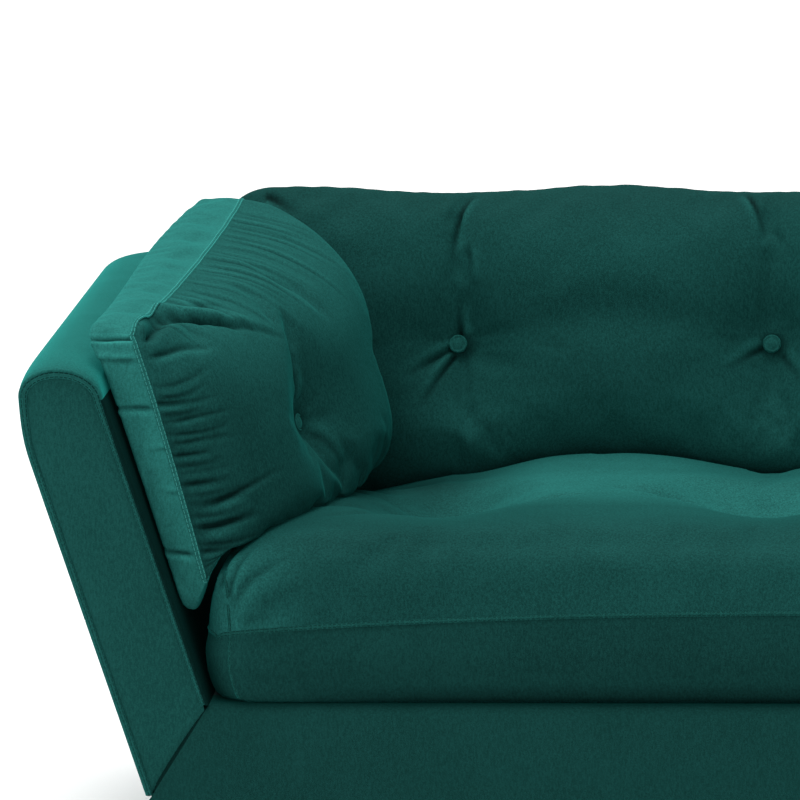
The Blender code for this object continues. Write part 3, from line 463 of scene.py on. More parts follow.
def sewn_ridge(name, path, out, width, height, material):
    """A seam's ridge: a low profile with a crest and a stitched groove on each side, carried along a path and
    standing on it in the direction out. The map sewn holds metres along it and the share across it."""
    ahead = np.gradient(path, axis=0)
    ahead /= np.linalg.norm(ahead, axis=1, keepdims=True)
    out = out - ahead * (out * ahead).sum(axis=1, keepdims=True)
    out /= np.linalg.norm(out, axis=1, keepdims=True)
    beside = np.cross(ahead, out)
    across = np.array((-1.0, -0.82, -0.55, -0.28, 0.0, 0.28, 0.55, 0.82, 1.0))
    rise = np.array((-0.35, 0.30, 0.40, 0.62, 1.0, 0.62, 0.40, 0.30, -0.35))
    width = np.broadcast_to(width, len(path))
    height = np.broadcast_to(height, len(path))
    rows = path[:, None] + beside[:, None] * (across * width[:, None] / 2)[..., None]
    rows = rows + out[:, None] * (rise * height[:, None])[..., None]
    columns = len(across)
    quads = strip_quads(len(path), columns)
    ridge = cloth_mesh(name, rows, quads, material, path.mean(axis=0))
    normals = np.empty(len(quads) * 3)
    ridge.data.polygons.foreach_get("normal", normals)
    crest = normals.reshape(len(path) - 1, columns - 1, 3)[:, columns // 2 - 1:columns // 2 + 1].mean(axis=1)
    if (crest * out[:-1]).sum() < 0:
        ridge.data.flip_normals()
    metres = np.concatenate([[0.0], np.cumsum(np.linalg.norm(np.diff(path, axis=0), axis=1))])
    places = np.broadcast_arrays(metres[:, None], np.linspace(0, 1, columns))
    places = np.stack(places, axis=-1).reshape(-1, 2)
    corner = np.empty(len(ridge.data.loops), dtype=np.int32)
    ridge.data.loops.foreach_get("vertex_index", corner)
    ridge.data.uv_layers.new(name="sewn").data.foreach_set("uv", places[corner].ravel())
    return ridge


def panel_ridge(side, side_name):
    """The flange round an arm panel: up its outer edge, over the arch and down its inner edge, wider and
    higher on top."""
    outer, inner, z = panel_edges()
    deck = np.flatnonzero(z >= DECK_Z)[0]
    x = np.concatenate([outer, inner[deck:-1][::-1]])
    level = np.concatenate([z, z[deck:-1][::-1]])
    path = np.stack([side * x, np.full_like(x, FRONT_Y + FLANGE_BACK), level], axis=-1)
    top = ramp(level, SHOULDER_Z - FLANGE_TOP_RUN, FLANGE_TOP_RUN)
    width = FLANGE_WIDTH + FLANGE_WIDER_ON_TOP * top
    height = FLANGE_HEIGHT + FLANGE_HIGHER_ON_TOP * top
    out = np.broadcast_to(FLANGE_FACING, path.shape)
    return sewn_ridge("arm_panel_seam_" + side_name, path, out, width, height, flange_velvet)


for side, side_name in SIDES:
    ridge = panel_ridge(side, side_name)
    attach(ridge, "frame")

for side, side_name in SIDES:
    panel = arm_panel(side, side_name)
    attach(panel, "frame")
    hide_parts("arm_front_panel_" + side_name)

# Rail panel. One long piece of velvet over foam on the front rail, rolled over its top edge and mitred to
# the arm panels at both ends, where a lap of it, coloured near-black as painted shade, is turned in behind
# them.
RAIL_ROUND = 0.016
RAIL_LAP = 0.012
RAIL_LAP_CLEAR = 0.003
RAIL_FOOT_Z = BASE_Z - 0.007
RAIL_BACK = 0.002
RAIL_SWELL = 0.004
RAIL_HEM = 0.018
RAIL_TURN_IN = 0.060
RAIL_OVER_DECK = 0.0002
MITRE_GAP = 0.0006
# A darker copy of the velvet: painted shade on the low, front-facing rail.
shaded_rail_velvet = velvet("rail painted shade velvet", (0.0053, 0.040, 0.035), (0.0082, 0.059, 0.053), 0.20, (3.0, 2.0, 1.2))


def rail_panel():
    """A section of hem, gently swollen face and rolled top, carried from mitre to mitre with ends cut on the
    slant, and a lap turned in behind the arm panel at each end."""
    climb = np.linspace(0, 1, 24)
    face_z = RAIL_FOOT_Z + climb * (DECK_Z - RAIL_FOOT_Z - RAIL_ROUND)
    face_y = FRONT_Y + RAIL_BACK - RAIL_SWELL * np.sin(math.pi * climb) ** 0.7
    turn = np.linspace(0, math.pi / 2, 10)[1:]
    roll_z = DECK_Z - RAIL_ROUND + RAIL_ROUND * np.sin(turn)
    roll_y = FRONT_Y + RAIL_BACK + RAIL_ROUND * (1 - np.cos(turn))
    z = np.concatenate([[RAIL_FOOT_Z + HEM_LIFT], face_z, roll_z, [DECK_Z + RAIL_OVER_DECK]])
    y = np.concatenate([[FRONT_Y + RAIL_HEM], face_y, roll_y, [FRONT_Y + RAIL_TURN_IN]])
    across = np.linspace(-1, 1, 180)[:, None]
    x = across * (mitre_x(z) - MITRE_GAP)
    rows = np.stack([x, np.broadcast_to(y, x.shape), np.broadcast_to(z, x.shape)], axis=-1)
    wall = HALF_WIDTH + (z - SHOULDER_Z) * SLOPE + wall_fullness(z) - PANEL_INSET
    lap_x = np.minimum(mitre_x(z) + RAIL_LAP, wall - RAIL_LAP_CLEAR)
    lap = np.stack([lap_x, y + RAIL_LAP, z], axis=-1)
    rows = np.concatenate([[lap * np.array((-1.0, 1.0, 1.0))], rows, [lap]])
    piece = cloth_mesh("rail_panel", rows, strip_quads(*rows.shape[:2]), shaded_rail_velvet, (0.0, 0.0, 0.17))
    # The laps take the near-black velvet: painted shade in the gap at each mitre.
    piece.data.materials.append(painted_gap_shade_velvet)
    lapped = np.zeros((len(rows) - 1, len(z) - 1), dtype=np.int32)
    lapped[[0, -1]] = 1
    piece.data.polygons.foreach_set("material_index", lapped.ravel())
    return piece


panel = rail_panel()
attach(panel, "frame")
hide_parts("front_rail_panel")

# Seat cushion. One bench cushion of foam in a soft wrap, boxed all round, with flanged double-stitched
# seams and four buttons pulled through it. It lies loose on the deck and under the arm cushions.
SEAT_HALF = 0.854
SEAT_FRONT = FRONT_Y + 0.012
SEAT_REAR = 0.2148
SEAT_SEAM_Z = 0.3377
SEAT_BOXING = 0.1067
SEAT_SEAM_DROP = 0.030
SEAT_DROP_POWER = 2.5
SEAT_CROWN = 0.084
SEAT_BULGE = 0.006
SEAT_PULL = 0.006
SEAT_CORNER = 0.055
SEAT_END_LEAN = 0.012
SEAT_TIGHT_SHARE = 0.644
SEAT_TIGHT_ROLL = 0.040
SEAT_SLOW_ROLL = 0.160
SEAT_REAR_ROLL = 0.110
SEAT_TUFT_Y = FRONT_Y + 0.330
SEAT_TUFT_DEPTH = 0.033
SEAT_TUFT_SPREAD = 0.055
TUFT_PITCH = 0.394
TUFT_XS = np.array((-1.5, -0.5, 0.5, 1.5)) * TUFT_PITCH
TUFT_FLAT = 0.020
TUFT_SEWN = 0.018
VALLEY_DEPTH = 0.018
VALLEY_ACROSS = 0.060
VALLEY_ALONG = 0.160
TROUGH_DEPTH = 0.024
TROUGH_WIDTH = 0.100
END_GIVE = 0.060
END_GIVE_FROM = 0.500
END_GIVE_RUN = 0.250
GIVE_FROM_Y = -0.090
GIVE_RUN = 0.160
SEAT_LIFT = 0.006
SEAT_LIFT_END = 0.580
SEAT_LIFT_RUN = 0.100
SEAT_STEP = 0.0105
SEAT_FINE = 0.0060
SEAT_FINE_AT_ENDS = 0.120
SEAT_FINE_AT_FRONT = 0.110
SEAT_CORNER_LINE = 4
SOFT_BRUSH = (2.0, 3.2, 2.6)
cushion_velvet = velvet("cushion velvet", (0.0058, 0.045, 0.040), (0.0105, 0.078, 0.070), 0.15, SOFT_BRUSH)
# A darker copy of the velvet: painted shade on the seat's front-facing boxing.
shaded_seat_boxing_velvet = velvet("seat boxing painted shade velvet", (0.0037, 0.028, 0.025), (0.0064, 0.046, 0.041), 0.11)
seam_velvet = stitched_velvet(
    "seam velvet", (0.0060, 0.047, 0.041), (0.0110, 0.080, 0.071), (0.0028, 0.022, 0.019)
)


def tuft_dip(distance, depth, spread):
    """A buttoned tuft: level under its button, then a bell-shaped dimple."""
    return depth * bell(np.maximum(distance - TUFT_FLAT, 0), spread)


def round_corners(u, v, length, height, radius):
    """Shares of a rectangle, moved so that its four corners become round: each corner square is squeezed to
    a quarter disc."""
    a = np.maximum(np.abs(u - 0.5) * length - (length / 2 - radius), 0) / radius
    b = np.maximum(np.abs(v - 0.5) * height - (height / 2 - radius), 0) / radius
    inward_u = np.sign(u - 0.5) * a * (1 - np.sqrt(1 - b**2 / 2)) * radius / length
    inward_v = np.sign(v - 0.5) * b * (1 - np.sqrt(1 - a**2 / 2)) * radius / height
    return u - inward_u, v - inward_v


def seat_shoulder(distance):
    """Rise from a front or end seam: a tight roll for two thirds of it, then a slow one up to the crown."""
    slow = (1 - SEAT_TIGHT_SHARE) * rolled_edge(distance, SEAT_SLOW_ROLL)
    return SEAT_TIGHT_SHARE * rolled_edge(distance, SEAT_TIGHT_ROLL) + slow


def seat_wave(x):
    """How far the seat gives under the back cushion: a bell-shaped trough in line with each tuft, and a
    straight fall towards both ends."""
    trough = bell(np.abs(x[:, None] - TUFT_XS).min(axis=1), TROUGH_WIDTH)
    return np.maximum(TROUGH_DEPTH * trough, END_GIVE * ramp(np.abs(x), END_GIVE_FROM, END_GIVE_RUN))


def seat_lift(x):
    """How far the seat stands up behind its tufts, level in the middle and falling away to its ends."""
    return SEAT_LIFT * ramp(np.abs(x), SEAT_LIFT_END, -SEAT_LIFT_RUN)


def seat_place(x, y, share):
    """The crown for share 1, cut by rolled edges, dimples and the valley through each, and below it the
    boxing, which bulges halfway down and pulls in between the corners."""
    half_y = (SEAT_REAR - SEAT_FRONT) / 2
    share_x, share_y = round_corners(
        x / SEAT_HALF / 2 + 0.5, (y - SEAT_FRONT) / half_y / 2, SEAT_HALF * 2, half_y * 2, SEAT_CORNER
    )
    share_x, share_y = share_x * 2 - 1, share_y * 2 - 1
    out = SEAT_BULGE * 4 * share * (1 - share)
    drawn_x = SEAT_HALF + out + SEAT_END_LEAN * share - SEAT_PULL * (1 - share_y**2)
    drawn_y = half_y + out - SEAT_PULL * (1 - share_x**2)
    drop = SEAT_SEAM_DROP * np.abs(share_x) ** SEAT_DROP_POWER * np.clip(0.5 - share_y, 0, 1)
    height = SEAT_SEAM_Z - SEAT_BOXING + (SEAT_BOXING - drop) * share
    if share == 1.0:
        rise = seat_shoulder(SEAT_HALF - np.abs(x)) * seat_shoulder(y - SEAT_FRONT)
        rise = rise * rolled_edge(SEAT_REAR - y, SEAT_REAR_ROLL)
        dip = np.zeros_like(x)
        for tuft in TUFT_XS:
            away = np.hypot(x - tuft, y - SEAT_TUFT_Y)
            outside = np.maximum(away - TUFT_FLAT, 0) / np.maximum(away, TUFT_FLAT)
            valley = VALLEY_DEPTH * bell((x - tuft) * outside, VALLEY_ACROSS)
            valley = valley * bell((y - SEAT_TUFT_Y) * outside, VALLEY_ALONG)
            dip = np.maximum(dip, valley + tuft_dip(away, SEAT_TUFT_DEPTH, SEAT_TUFT_SPREAD))
        behind = ramp(y, GIVE_FROM_Y, GIVE_RUN)
        dip = np.maximum(dip, seat_wave(x) * behind) - seat_lift(x) * behind
        height = height + rise * (SEAT_CROWN + drop - dip)
    return np.stack([share_x * drawn_x, SEAT_FRONT + half_y + drawn_y * share_y, height], axis=-1)


FLAT_RING = 0.08


def boxed_cushion(name, u_lines, v_lines, place, boxing, face_velvet, boxing_velvet, inside):
    """A crowned face on a grid, rows of boxing from its edge back, and a flat ring behind, open until it is
    closed. The attribute cloth keeps each point's place on the cover: its two parameters, and a share that is
    1 on the face and falls to 0 at the open edge. Returns the object, and its rows of points from the seam
    to that edge."""
    u, v = np.meshgrid(u_lines, v_lines, indexing="ij")
    rows, columns = u.shape
    index = np.arange(rows * columns).reshape(rows, columns)
    seam = np.concatenate([index[:-1, 0], index[-1, :-1], index[:0:-1, -1], index[0, :0:-1]])
    count = len(seam)
    rings = [place(u.ravel()[seam], v.ravel()[seam], share) for share in boxing]
    rings.append(rings[-1] + FLAT_RING * (rings[-1].mean(axis=0) - rings[-1]))
    points = np.concatenate([place(u.ravel(), v.ravel(), 1.0), *rings])
    loops = rows * columns + np.arange(len(rings) * count).reshape(len(rings), count)
    loops = np.vstack([seam, loops])
    face = strip_quads(rows, columns)
    walls = loops.ravel()[strip_quads(*loops.shape, wrap=True)]
    piece = cloth_mesh(name, points, np.concatenate([face, walls]), face_velvet, inside)
    piece.data.materials.append(boxing_velvet)
    cut = np.repeat([0, 1], [len(face), len(walls)]).astype(np.int32)
    piece.data.polygons.foreach_set("material_index", cut)
    shares = np.concatenate([np.ones(rows * columns), np.repeat([*boxing, 0.0], count)])
    turn = np.concatenate([index.ravel(), np.tile(seam, len(rings))])
    cloth = np.stack([u.ravel()[turn], v.ravel()[turn], shares], axis=-1)
    piece.data.attributes.new("cloth", "FLOAT_VECTOR", "POINT").data.foreach_set("vector", cloth.ravel())
    return piece, loops


def read_points(mesh):
    """A mesh's points as rows of x, y and z."""
    flat = np.empty(len(mesh.vertices) * 3)
    mesh.vertices.foreach_get("co", flat)
    return flat.reshape(-1, 3)


def write_points(mesh, points):
    """Moves a mesh's points to new places."""
    mesh.vertices.foreach_set("co", points.ravel())
    mesh.update()


FILLING_PRESSURE = 4.0
FILLING_STEPS = 20
CLOTH_BENDING = 0.15


def fill_cushion(piece, sewn, spare, cap):
    """Blows the cover up like a filled cushion, held where it is sewn and with some spare cloth to wrinkle,
    and draws back every point that would move further than the cap."""
    rest = read_points(piece.data)
    group = piece.vertex_groups.new(name="sewn")
    group.add(np.unique(sewn).tolist(), 1.0, "REPLACE")
    filling = piece.modifiers.new("filling", "CLOTH")
    filling.settings.vertex_group_mass = "sewn"
    filling.settings.use_pressure = True
    filling.settings.uniform_pressure_force = FILLING_PRESSURE
    filling.settings.shrink_min = -spare
    filling.settings.bending_stiffness = CLOTH_BENDING
    filling.settings.effector_weights.gravity = 0.0
    filling.collision_settings.use_collision = False
    for step in range(1, FILLING_STEPS + 1):
        bpy.context.scene.frame_set(step)
    shaped = piece.evaluated_get(bpy.context.evaluated_depsgraph_get())
    move = read_points(shaped.data) - rest
    piece.modifiers.remove(filling)
    bpy.context.scene.frame_set(1)
    length = np.linalg.norm(move, axis=1, keepdims=True)
    write_points(piece.data, rest + move * np.minimum(1.0, cap / np.maximum(length, 1e-9)))


def close_cover(piece, levels):
    """The cloth subdivided, and one flat face sewn over the open side at the back of the boxing."""
    smooth = piece.modifiers.new("soft faces", "SUBSURF")
    smooth.levels = levels
    smooth.render_levels = levels
    shaped = piece.evaluated_get(bpy.context.evaluated_depsgraph_get())
    cover = bmesh.new()
    cover.from_mesh(shaped.to_mesh())
    bmesh.ops.holes_fill(cover, edges=[edge for edge in cover.edges if edge.is_boundary], sides=0)
    piece.modifiers.remove(smooth)
    cover.to_mesh(piece.data)
    cover.free()


def vertex_normals(mesh):
    """The directions in which a mesh's points face, as rows of x, y and z."""
    flat = np.empty(len(mesh.vertices) * 3)
    mesh.vertex_normals.foreach_get("vector", flat)
    return flat.reshape(-1, 3)


def cloth_places(piece):
    """Each point's place on its cover, as boxed_cushion wrote it and the subdivision shared it out."""
    flat = np.empty(len(piece.data.vertices) * 3)
    piece.data.attributes["cloth"].data.foreach_get("vector", flat)
    return flat.reshape(-1, 3)


FACE_SHARE = 0.999
CREASE_SAMPLES = 60
CREASE_REACH = 6
# The crease depth from which a groove gets its full painted shade.
CREASE_FULL_SHADE = 0.0028
CREASE_FADE = 0.75
RIDGE_HEIGHT = 0.6
RIDGE_BESIDE = 2.2
RIDGE_WIDTH = 1.5


def paint_shading(piece, amount):
    """Adds painted shade and painted light to the attribute by which the velvet darkens or lightens each
    point.
    """
    if "painted_shading" not in piece.data.attributes:
        piece.data.attributes.new("painted_shading", "FLOAT", "POINT")
    kept = piece.data.attributes["painted_shading"].data
    before = np.empty(len(amount))
    kept.foreach_get("value", before)
    kept.foreach_set("value", np.clip(before + amount, -1.0, 1.0))


def press_creases(piece, spots, where, creases):
    """Presses creases into a cover. Each is a smooth line through some spots on the cloth, with a width, a
    depth, the share of its length in which it starts, and the side of its ridge: a bell-shaped groove along
    the line with a softer ridge beside it, both fading to the line's far end. In an attribute for the velvet
    the groove is painted darker, as painted shade, and the ridge lighter, as a painted highlight."""
    move = np.zeros(len(spots))
    painted_shading = np.zeros(len(spots))
    share = np.linspace(0, 1, CREASE_SAMPLES)
    for line, width, depth, start, side in creases:
        stops = np.linspace(0, 1, len(line))
        bend = min(len(line) - 1, 3)
        curve = np.polynomial.polynomial.polyfit(stops, np.array(line), bend)
        curve = np.polynomial.polynomial.polyval(share, curve).T
        reach = CREASE_REACH * width
        close = (spots > curve.min(axis=0) - reach) & (spots < curve.max(axis=0) + reach)
        near = np.flatnonzero(where & close.all(axis=1))
        away = spots[near][:, None] - curve
        nearest = (away**2).sum(axis=-1).argmin(axis=1)
        away = away[np.arange(len(near)), nearest]
        ahead = np.gradient(curve, axis=0)[nearest]
        ahead /= np.linalg.norm(ahead, axis=1, keepdims=True)
        beside = side * (ahead[:, 0] * away[:, 1] - ahead[:, 1] * away[:, 0])
        past = (ahead * away).sum(axis=1)
        fade = ramp(share[nearest], 0, start) * ramp(share[nearest], 1, -CREASE_FADE) * bell(past, width)
        ridge = RIDGE_HEIGHT * bell(beside / width - RIDGE_BESIDE, RIDGE_WIDTH)
        groove = bell(beside, width) - ridge
        move[near] -= depth * fade * groove
        # Painted shade in the groove and a painted highlight on the ridge, stronger for deeper creases.
        painted_shading[near] += min(depth / CREASE_FULL_SHADE, 1.0) * fade * groove
    paint_shading(piece, painted_shading)
    write_points(piece.data, read_points(piece.data) + vertex_normals(piece.data) * move[:, None])


def at_both_ends(creases):
    """The creases of a right end, mirrored to the left end, and as they are."""
    both = []
    for side, _ in SIDES:
        for line, width, depth, start, ridge in creases:
            both.append((np.array(line) * np.array((side, 1.0)), width, depth, start, side * ridge))
    return both


def seam_ridge(piece, loop, body, material, name="_seam", width=0.0060, height=0.0015):
    """The double-stitched ridge that stands on a line of a cushion's points."""
    path = read_points(piece.data)[loop]
    ridge = sewn_ridge(piece.name + name, path, vertex_normals(piece.data)[loop], width, height, material)
    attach(ridge, body)


def lines(low, high, step):
    """Evenly spaced lines, about a step apart."""
    return np.linspace(low, high, round((high - low) / step) + 1)


def closer_lines(low, high, step, fine, middles, reach):
    """Lines a step apart, and closer together within reach of some middles: the running count of lines,
    inverted."""
    x = np.linspace(low, high, 4000)
    near = np.abs(x[:, None] - middles).min(axis=1) < reach
    count = np.cumsum(np.where(near, 1 / fine, 1 / step))
    total = round((count[-1] - count[0]) * (x[1] - x[0])) + 1
    return np.interp(np.linspace(count[0], count[-1], total), count, x)


def seat_painted_shading(cloth):
    """Painted shade and light on the seat, above 0 darker and below 0 lighter. On the face, soft patches of
    painted shade and light are added up: over the middle, at each trough, on the brow, at the ends, behind
    the tufts, in the nooks beside the arm cushions, along the front and at the front corners. The boxing is
    painted darker at its foot, as a contact shadow, and lighter above."""
    x, y, share = np.abs(cloth[:, 0]), cloth[:, 1], cloth[:, 2]
    corner = ramp(x, 0.730, 0.090)
    crest = bell(y + 0.080, 0.045) - ramp(y, -0.020, 0.040)
    trough = bell(np.abs(cloth[:, 0:1] - TUFT_XS).min(axis=1), 0.080)
    face = 0.09 * ramp(x, 0.80, -0.20) - 0.30 * crest * trough
    face = face + 0.18 * bell(x - 0.640, 0.130) * ramp(y, -0.200, -0.100)
    face = face + 0.24 * ramp(x, 0.600, 0.100) * ramp(y, -0.280, 0.160)
    rear = ramp(y, -0.225, 0.100) * (1 - 0.35 * ramp(y, -0.030, 0.040))
    face = face - 0.95 * rear * ramp(x, 0.610, -0.140)
    face = face + 0.50 * bell(x - 0.640, 0.085) * bell(y - 0.060, 0.075)
    face = face + 0.14 * bell(y + 0.330, 0.070)
    face = face - 0.75 * corner * ramp(y, -0.330, -0.060)
    foot = 0.45 * ramp(share, 0.28, -0.14) + 0.40 * ramp(share, 0.12, -0.08)
    band = foot * (1 - 0.75 * ramp(x, 0.600, 0.150))
    band = band - 0.22 * ramp(share, 0.40, 0.30) - 0.22 * corner
    return np.where(share > FACE_SHARE, face, band)


# Creases that fan out from the right front corner, by x and y on the cloth, as press_creases takes them.
SEAT_CREASES = [
    (((0.830, -0.424), (0.815, -0.404), (0.790, -0.366)), 0.0036, 0.0042, 0.1, 1),
    (((0.826, -0.428), (0.795, -0.416), (0.745, -0.398)), 0.0034, 0.0034, 0.1, 1),
    (((0.836, -0.412), (0.828, -0.385), (0.815, -0.345)), 0.0036, 0.0034, 0.1, 1),
    (((0.822, -0.432), (0.780, -0.428), (0.720, -0.420)), 0.0034, 0.0022, 0.1, 1),
    (((0.846, -0.400), (0.842, -0.370), (0.834, -0.330)), 0.0036, 0.0026, 0.1, 1),
]
seat_ends = np.array((-SEAT_HALF, SEAT_HALF))
seat_xs = closer_lines(-SEAT_HALF, SEAT_HALF, SEAT_STEP, SEAT_FINE, seat_ends, SEAT_FINE_AT_ENDS)
seat_front = np.array((SEAT_FRONT,))
seat_ys = closer_lines(SEAT_FRONT, SEAT_REAR, SEAT_STEP, SEAT_FINE, seat_front, SEAT_FINE_AT_FRONT)
seat, seat_loops = boxed_cushion(
    "seat_cushion_cover", seat_xs, seat_ys, seat_place, np.linspace(1, 0, 11)[1:],
    cushion_velvet, shaded_seat_boxing_velvet, (0.0, -0.1, 0.33),
)
seat_rest = read_points(seat.data)
seat_near = np.hypot(seat_rest[:, 0:1] - TUFT_XS, seat_rest[:, 1:2] - SEAT_TUFT_Y).min(axis=1)
seat_tufts = np.flatnonzero((seat_near < TUFT_SEWN) & (seat_rest[:, 2] > SEAT_SEAM_Z))
fill_cushion(seat, np.concatenate([seat_loops[0], *seat_loops[-2:], seat_tufts]), spare=0.02, cap=0.012)
close_cover(seat, levels=1)
seat_cloth = cloth_places(seat)
press_creases(seat, seat_cloth[:, :2], seat_cloth[:, 2] > FACE_SHARE, at_both_ends(SEAT_CREASES))
# Painted shade and light on the seat.
paint_shading(seat, seat_painted_shading(seat_cloth))
seam_ridge(seat, np.append(seat_loops[0], seat_loops[0, 0]), "seat_cushion", seam_velvet)
for corner, corner_name in ((SEAT_CORNER_LINE, "_left"), (len(seat_xs) - 1 - SEAT_CORNER_LINE, "_right")):
    corner_line = np.concatenate([seat_loops[-2::-1, corner], corner * len(seat_ys) + np.arange(1, 7)])
    seam_ridge(seat, corner_line, "seat_cushion", seam_velvet, "_corner" + corner_name, 0.0045, 0.0014)
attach(seat, "seat_cushion")
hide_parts("seat_cushion")

# Back cushion. One long loose cushion, softly filled, leaning on the back and standing on the seat,
# with four buttons that pull its face into tufts and its top edge into waves.
LEAN_UP = np.array((0.0, math.sin(LEAN), math.cos(LEAN)))
LEAN_OUT = np.array((0.0, -math.cos(LEAN), math.sin(LEAN)))
BACK_FOOT_Z = 0.3787
BACK_FOOT = np.array((0.0, REAR_Y - SLAB + (BACK_FOOT_Z - SHOULDER_Z) * SLOPE, BACK_FOOT_Z))
BACK_HALF = HALF_WIDTH - SLAB + (BACK_FOOT_Z - SHOULDER_Z) * SLOPE - 0.012
BACK_HEIGHT = 0.367
BACK_SPLAY = 0.08
BACK_PULL = 0.010
BACK_SEAM = 0.085
BACK_SEAM_ROUND = 0.035
BACK_CROWN = 0.074
BACK_CORNER = 0.075
BACK_WAVE = 0.009
BACK_FOOT_FOLLOWS = 0.9
BACK_END_ROLL = 0.330
BACK_FOOT_ROLL = 0.090
BACK_TOP_ROLL = 0.165
BACK_TUFT = 0.159
BACK_TUFT_DEPTH = 0.032
BACK_TUFT_SPREAD = 0.052
WAIST_RISE = 0.015
WAIST_DEPTH = 0.009
WAIST_WIDTH = 0.030
FOLD_DEPTH = 0.011
FOLD_WIDTH = 0.032
FOLD_RUN = 0.165
BACK_GAP = 0.0009
BACK_GAP_TAPER = 0.0045
BACK_STEP = 0.0115
BACK_FINE = 0.0068
BACK_FINE_REACH = 0.080
back_velvet = velvet("back velvet", (0.0062, 0.049, 0.043), (0.0110, 0.082, 0.074), 0.04, SOFT_BRUSH)


def back_place(x, height, share):
    """The crowned face for share 1, cut by rolled edges, tufts, a waist between them and a fold above each,
    and the edge that rounds back to the flat rear face. Its foot follows the wave of the seat."""
    share_x, share_up = round_corners(
        x / BACK_HALF / 2 + 0.5, height / BACK_HEIGHT, BACK_HALF * 2, BACK_HEIGHT, BACK_CORNER
    )
    share_x = share_x * 2 - 1
    inset = BACK_SEAM_ROUND * (1 - math.sqrt(1 - (1 - share) ** 2))
    half_x = BACK_HALF + BACK_SPLAY * height - inset - BACK_PULL * 4 * share_up * (1 - share_up)
    turn = 2 * math.pi * x / TUFT_PITCH
    wave = BACK_WAVE * 0.5 * (1 - np.cos(turn))
    give = BACK_FOOT_FOLLOWS * seat_wave(x) - seat_lift(x)
    up = inset + share_up * (BACK_HEIGHT - wave - 2 * inset) - give * (1 - share_up) ** 3
    off = np.full_like(x, BACK_SEAM * share)
    if share == 1.0:
        rise = rolled_edge(BACK_HALF - np.abs(x), BACK_END_ROLL)
        rise = rise * rolled_edge(height, BACK_FOOT_ROLL) * rolled_edge(BACK_HEIGHT - height, BACK_TOP_ROLL)
        waist = BACK_TUFT + WAIST_RISE * (1 + np.cos(turn))
        dip = WAIST_DEPTH * bell(height - waist, WAIST_WIDTH) * ramp(np.abs(x), 0.70, -0.10)
        above = ramp(height, BACK_TUFT + TUFT_FLAT, FOLD_RUN)
        for tuft in TUFT_XS:
            away = np.hypot(x - tuft, height - BACK_TUFT)
            fold = FOLD_DEPTH * above * bell(x - tuft, FOLD_WIDTH)
            dip = np.maximum(dip, fold + tuft_dip(away, BACK_TUFT_DEPTH, BACK_TUFT_SPREAD))
        off = off + rise * (BACK_CROWN - dip)
    off = off + BACK_GAP + BACK_GAP_TAPER * height
    across = np.outer(share_x * half_x, (1.0, 0.0, 0.0))
    return BACK_FOOT + across + np.outer(up, LEAN_UP) + np.outer(off, LEAN_OUT)


def back_painted_shading(cloth):
    """Painted shade and light on the back cushion: darker on top and low at the ends, lighter along the foot,
    and a painted shadow round each button."""
    x, up = np.abs(cloth[:, 0]), cloth[:, 1] / BACK_HEIGHT
    broad = 0.42 * ramp(up, 0.68, 0.28) - 0.70 * ramp(up, 0.28, -0.20)
    ends = 0.62 * ramp(x, 0.580, 0.160) * np.clip(1.6 - 2.6 * up, 0, 1)
    off = np.hypot(cloth[:, 0:1] - TUFT_XS, cloth[:, 1:2] - BACK_TUFT).min(axis=1)
    return broad + ends + 0.60 * np.exp(-((off / 0.0165) ** 4))


# Creases of the right half, by x and height on the cloth: down from the top edge, and out from the buttons.
BACK_CREASES = [
    (((0.563, 0.360), (0.583, 0.326), (0.594, 0.285), (0.592, 0.256)), 0.0034, 0.0046, 0.35, -1),
    (((0.576, 0.285), (0.574, 0.260), (0.578, 0.230)), 0.0032, 0.0018, 0.35, -1),
    (((0.592, 0.170), (0.595, 0.190), (0.593, 0.225)), 0.0040, 0.0038, 0.1, 1),
    (((0.601, 0.158), (0.629, 0.143), (0.667, 0.120)), 0.0038, 0.0052, 0.1, 1),
    (((0.600, 0.150), (0.622, 0.121), (0.650, 0.082)), 0.0038, 0.0050, 0.1, 1),
    (((0.228, 0.366), (0.216, 0.333), (0.204, 0.290)), 0.0036, 0.0036, 0.35, 1),
    (((0.207, 0.157), (0.235, 0.140), (0.262, 0.118)), 0.0045, 0.0026, 0.1, 1),
    (((0.188, 0.150), (0.170, 0.125), (0.150, 0.105)), 0.0045, 0.0022, 0.1, -1),
    (((0.830, 0.350), (0.812, 0.340), (0.785, 0.315)), 0.0060, 0.0045, 0.2, 1),
]
back_xs = closer_lines(-BACK_HALF, BACK_HALF, BACK_STEP, BACK_FINE, TUFT_XS, BACK_FINE_REACH)
back_heights = lines(0.0, BACK_HEIGHT, BACK_FINE)
back, back_loops = boxed_cushion(
    "back_cushion_cover", back_xs, back_heights, back_place, np.linspace(1, 0, 9)[1:],
    back_velvet, back_velvet, (0.0, 0.22, 0.55),
)
back_x, back_h = (grid.ravel() for grid in np.meshgrid(back_xs, back_heights, indexing="ij"))
back_near = np.hypot(back_x[:, None] - TUFT_XS, back_h[:, None] - BACK_TUFT).min(axis=1)
back_tufts = np.flatnonzero(back_near < TUFT_SEWN)
fill_cushion(back, np.concatenate([back_loops[0], *back_loops[-2:], back_tufts]), spare=0.02, cap=0.015)
close_cover(back, levels=1)
back_cloth = cloth_places(back)
press_creases(back, back_cloth[:, :2], back_cloth[:, 2] > FACE_SHARE, at_both_ends(BACK_CREASES))
# Painted shade and light on the back cushion.
paint_shading(back, back_painted_shading(back_cloth))
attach(back, "back_cushion")
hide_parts("back_cushion")

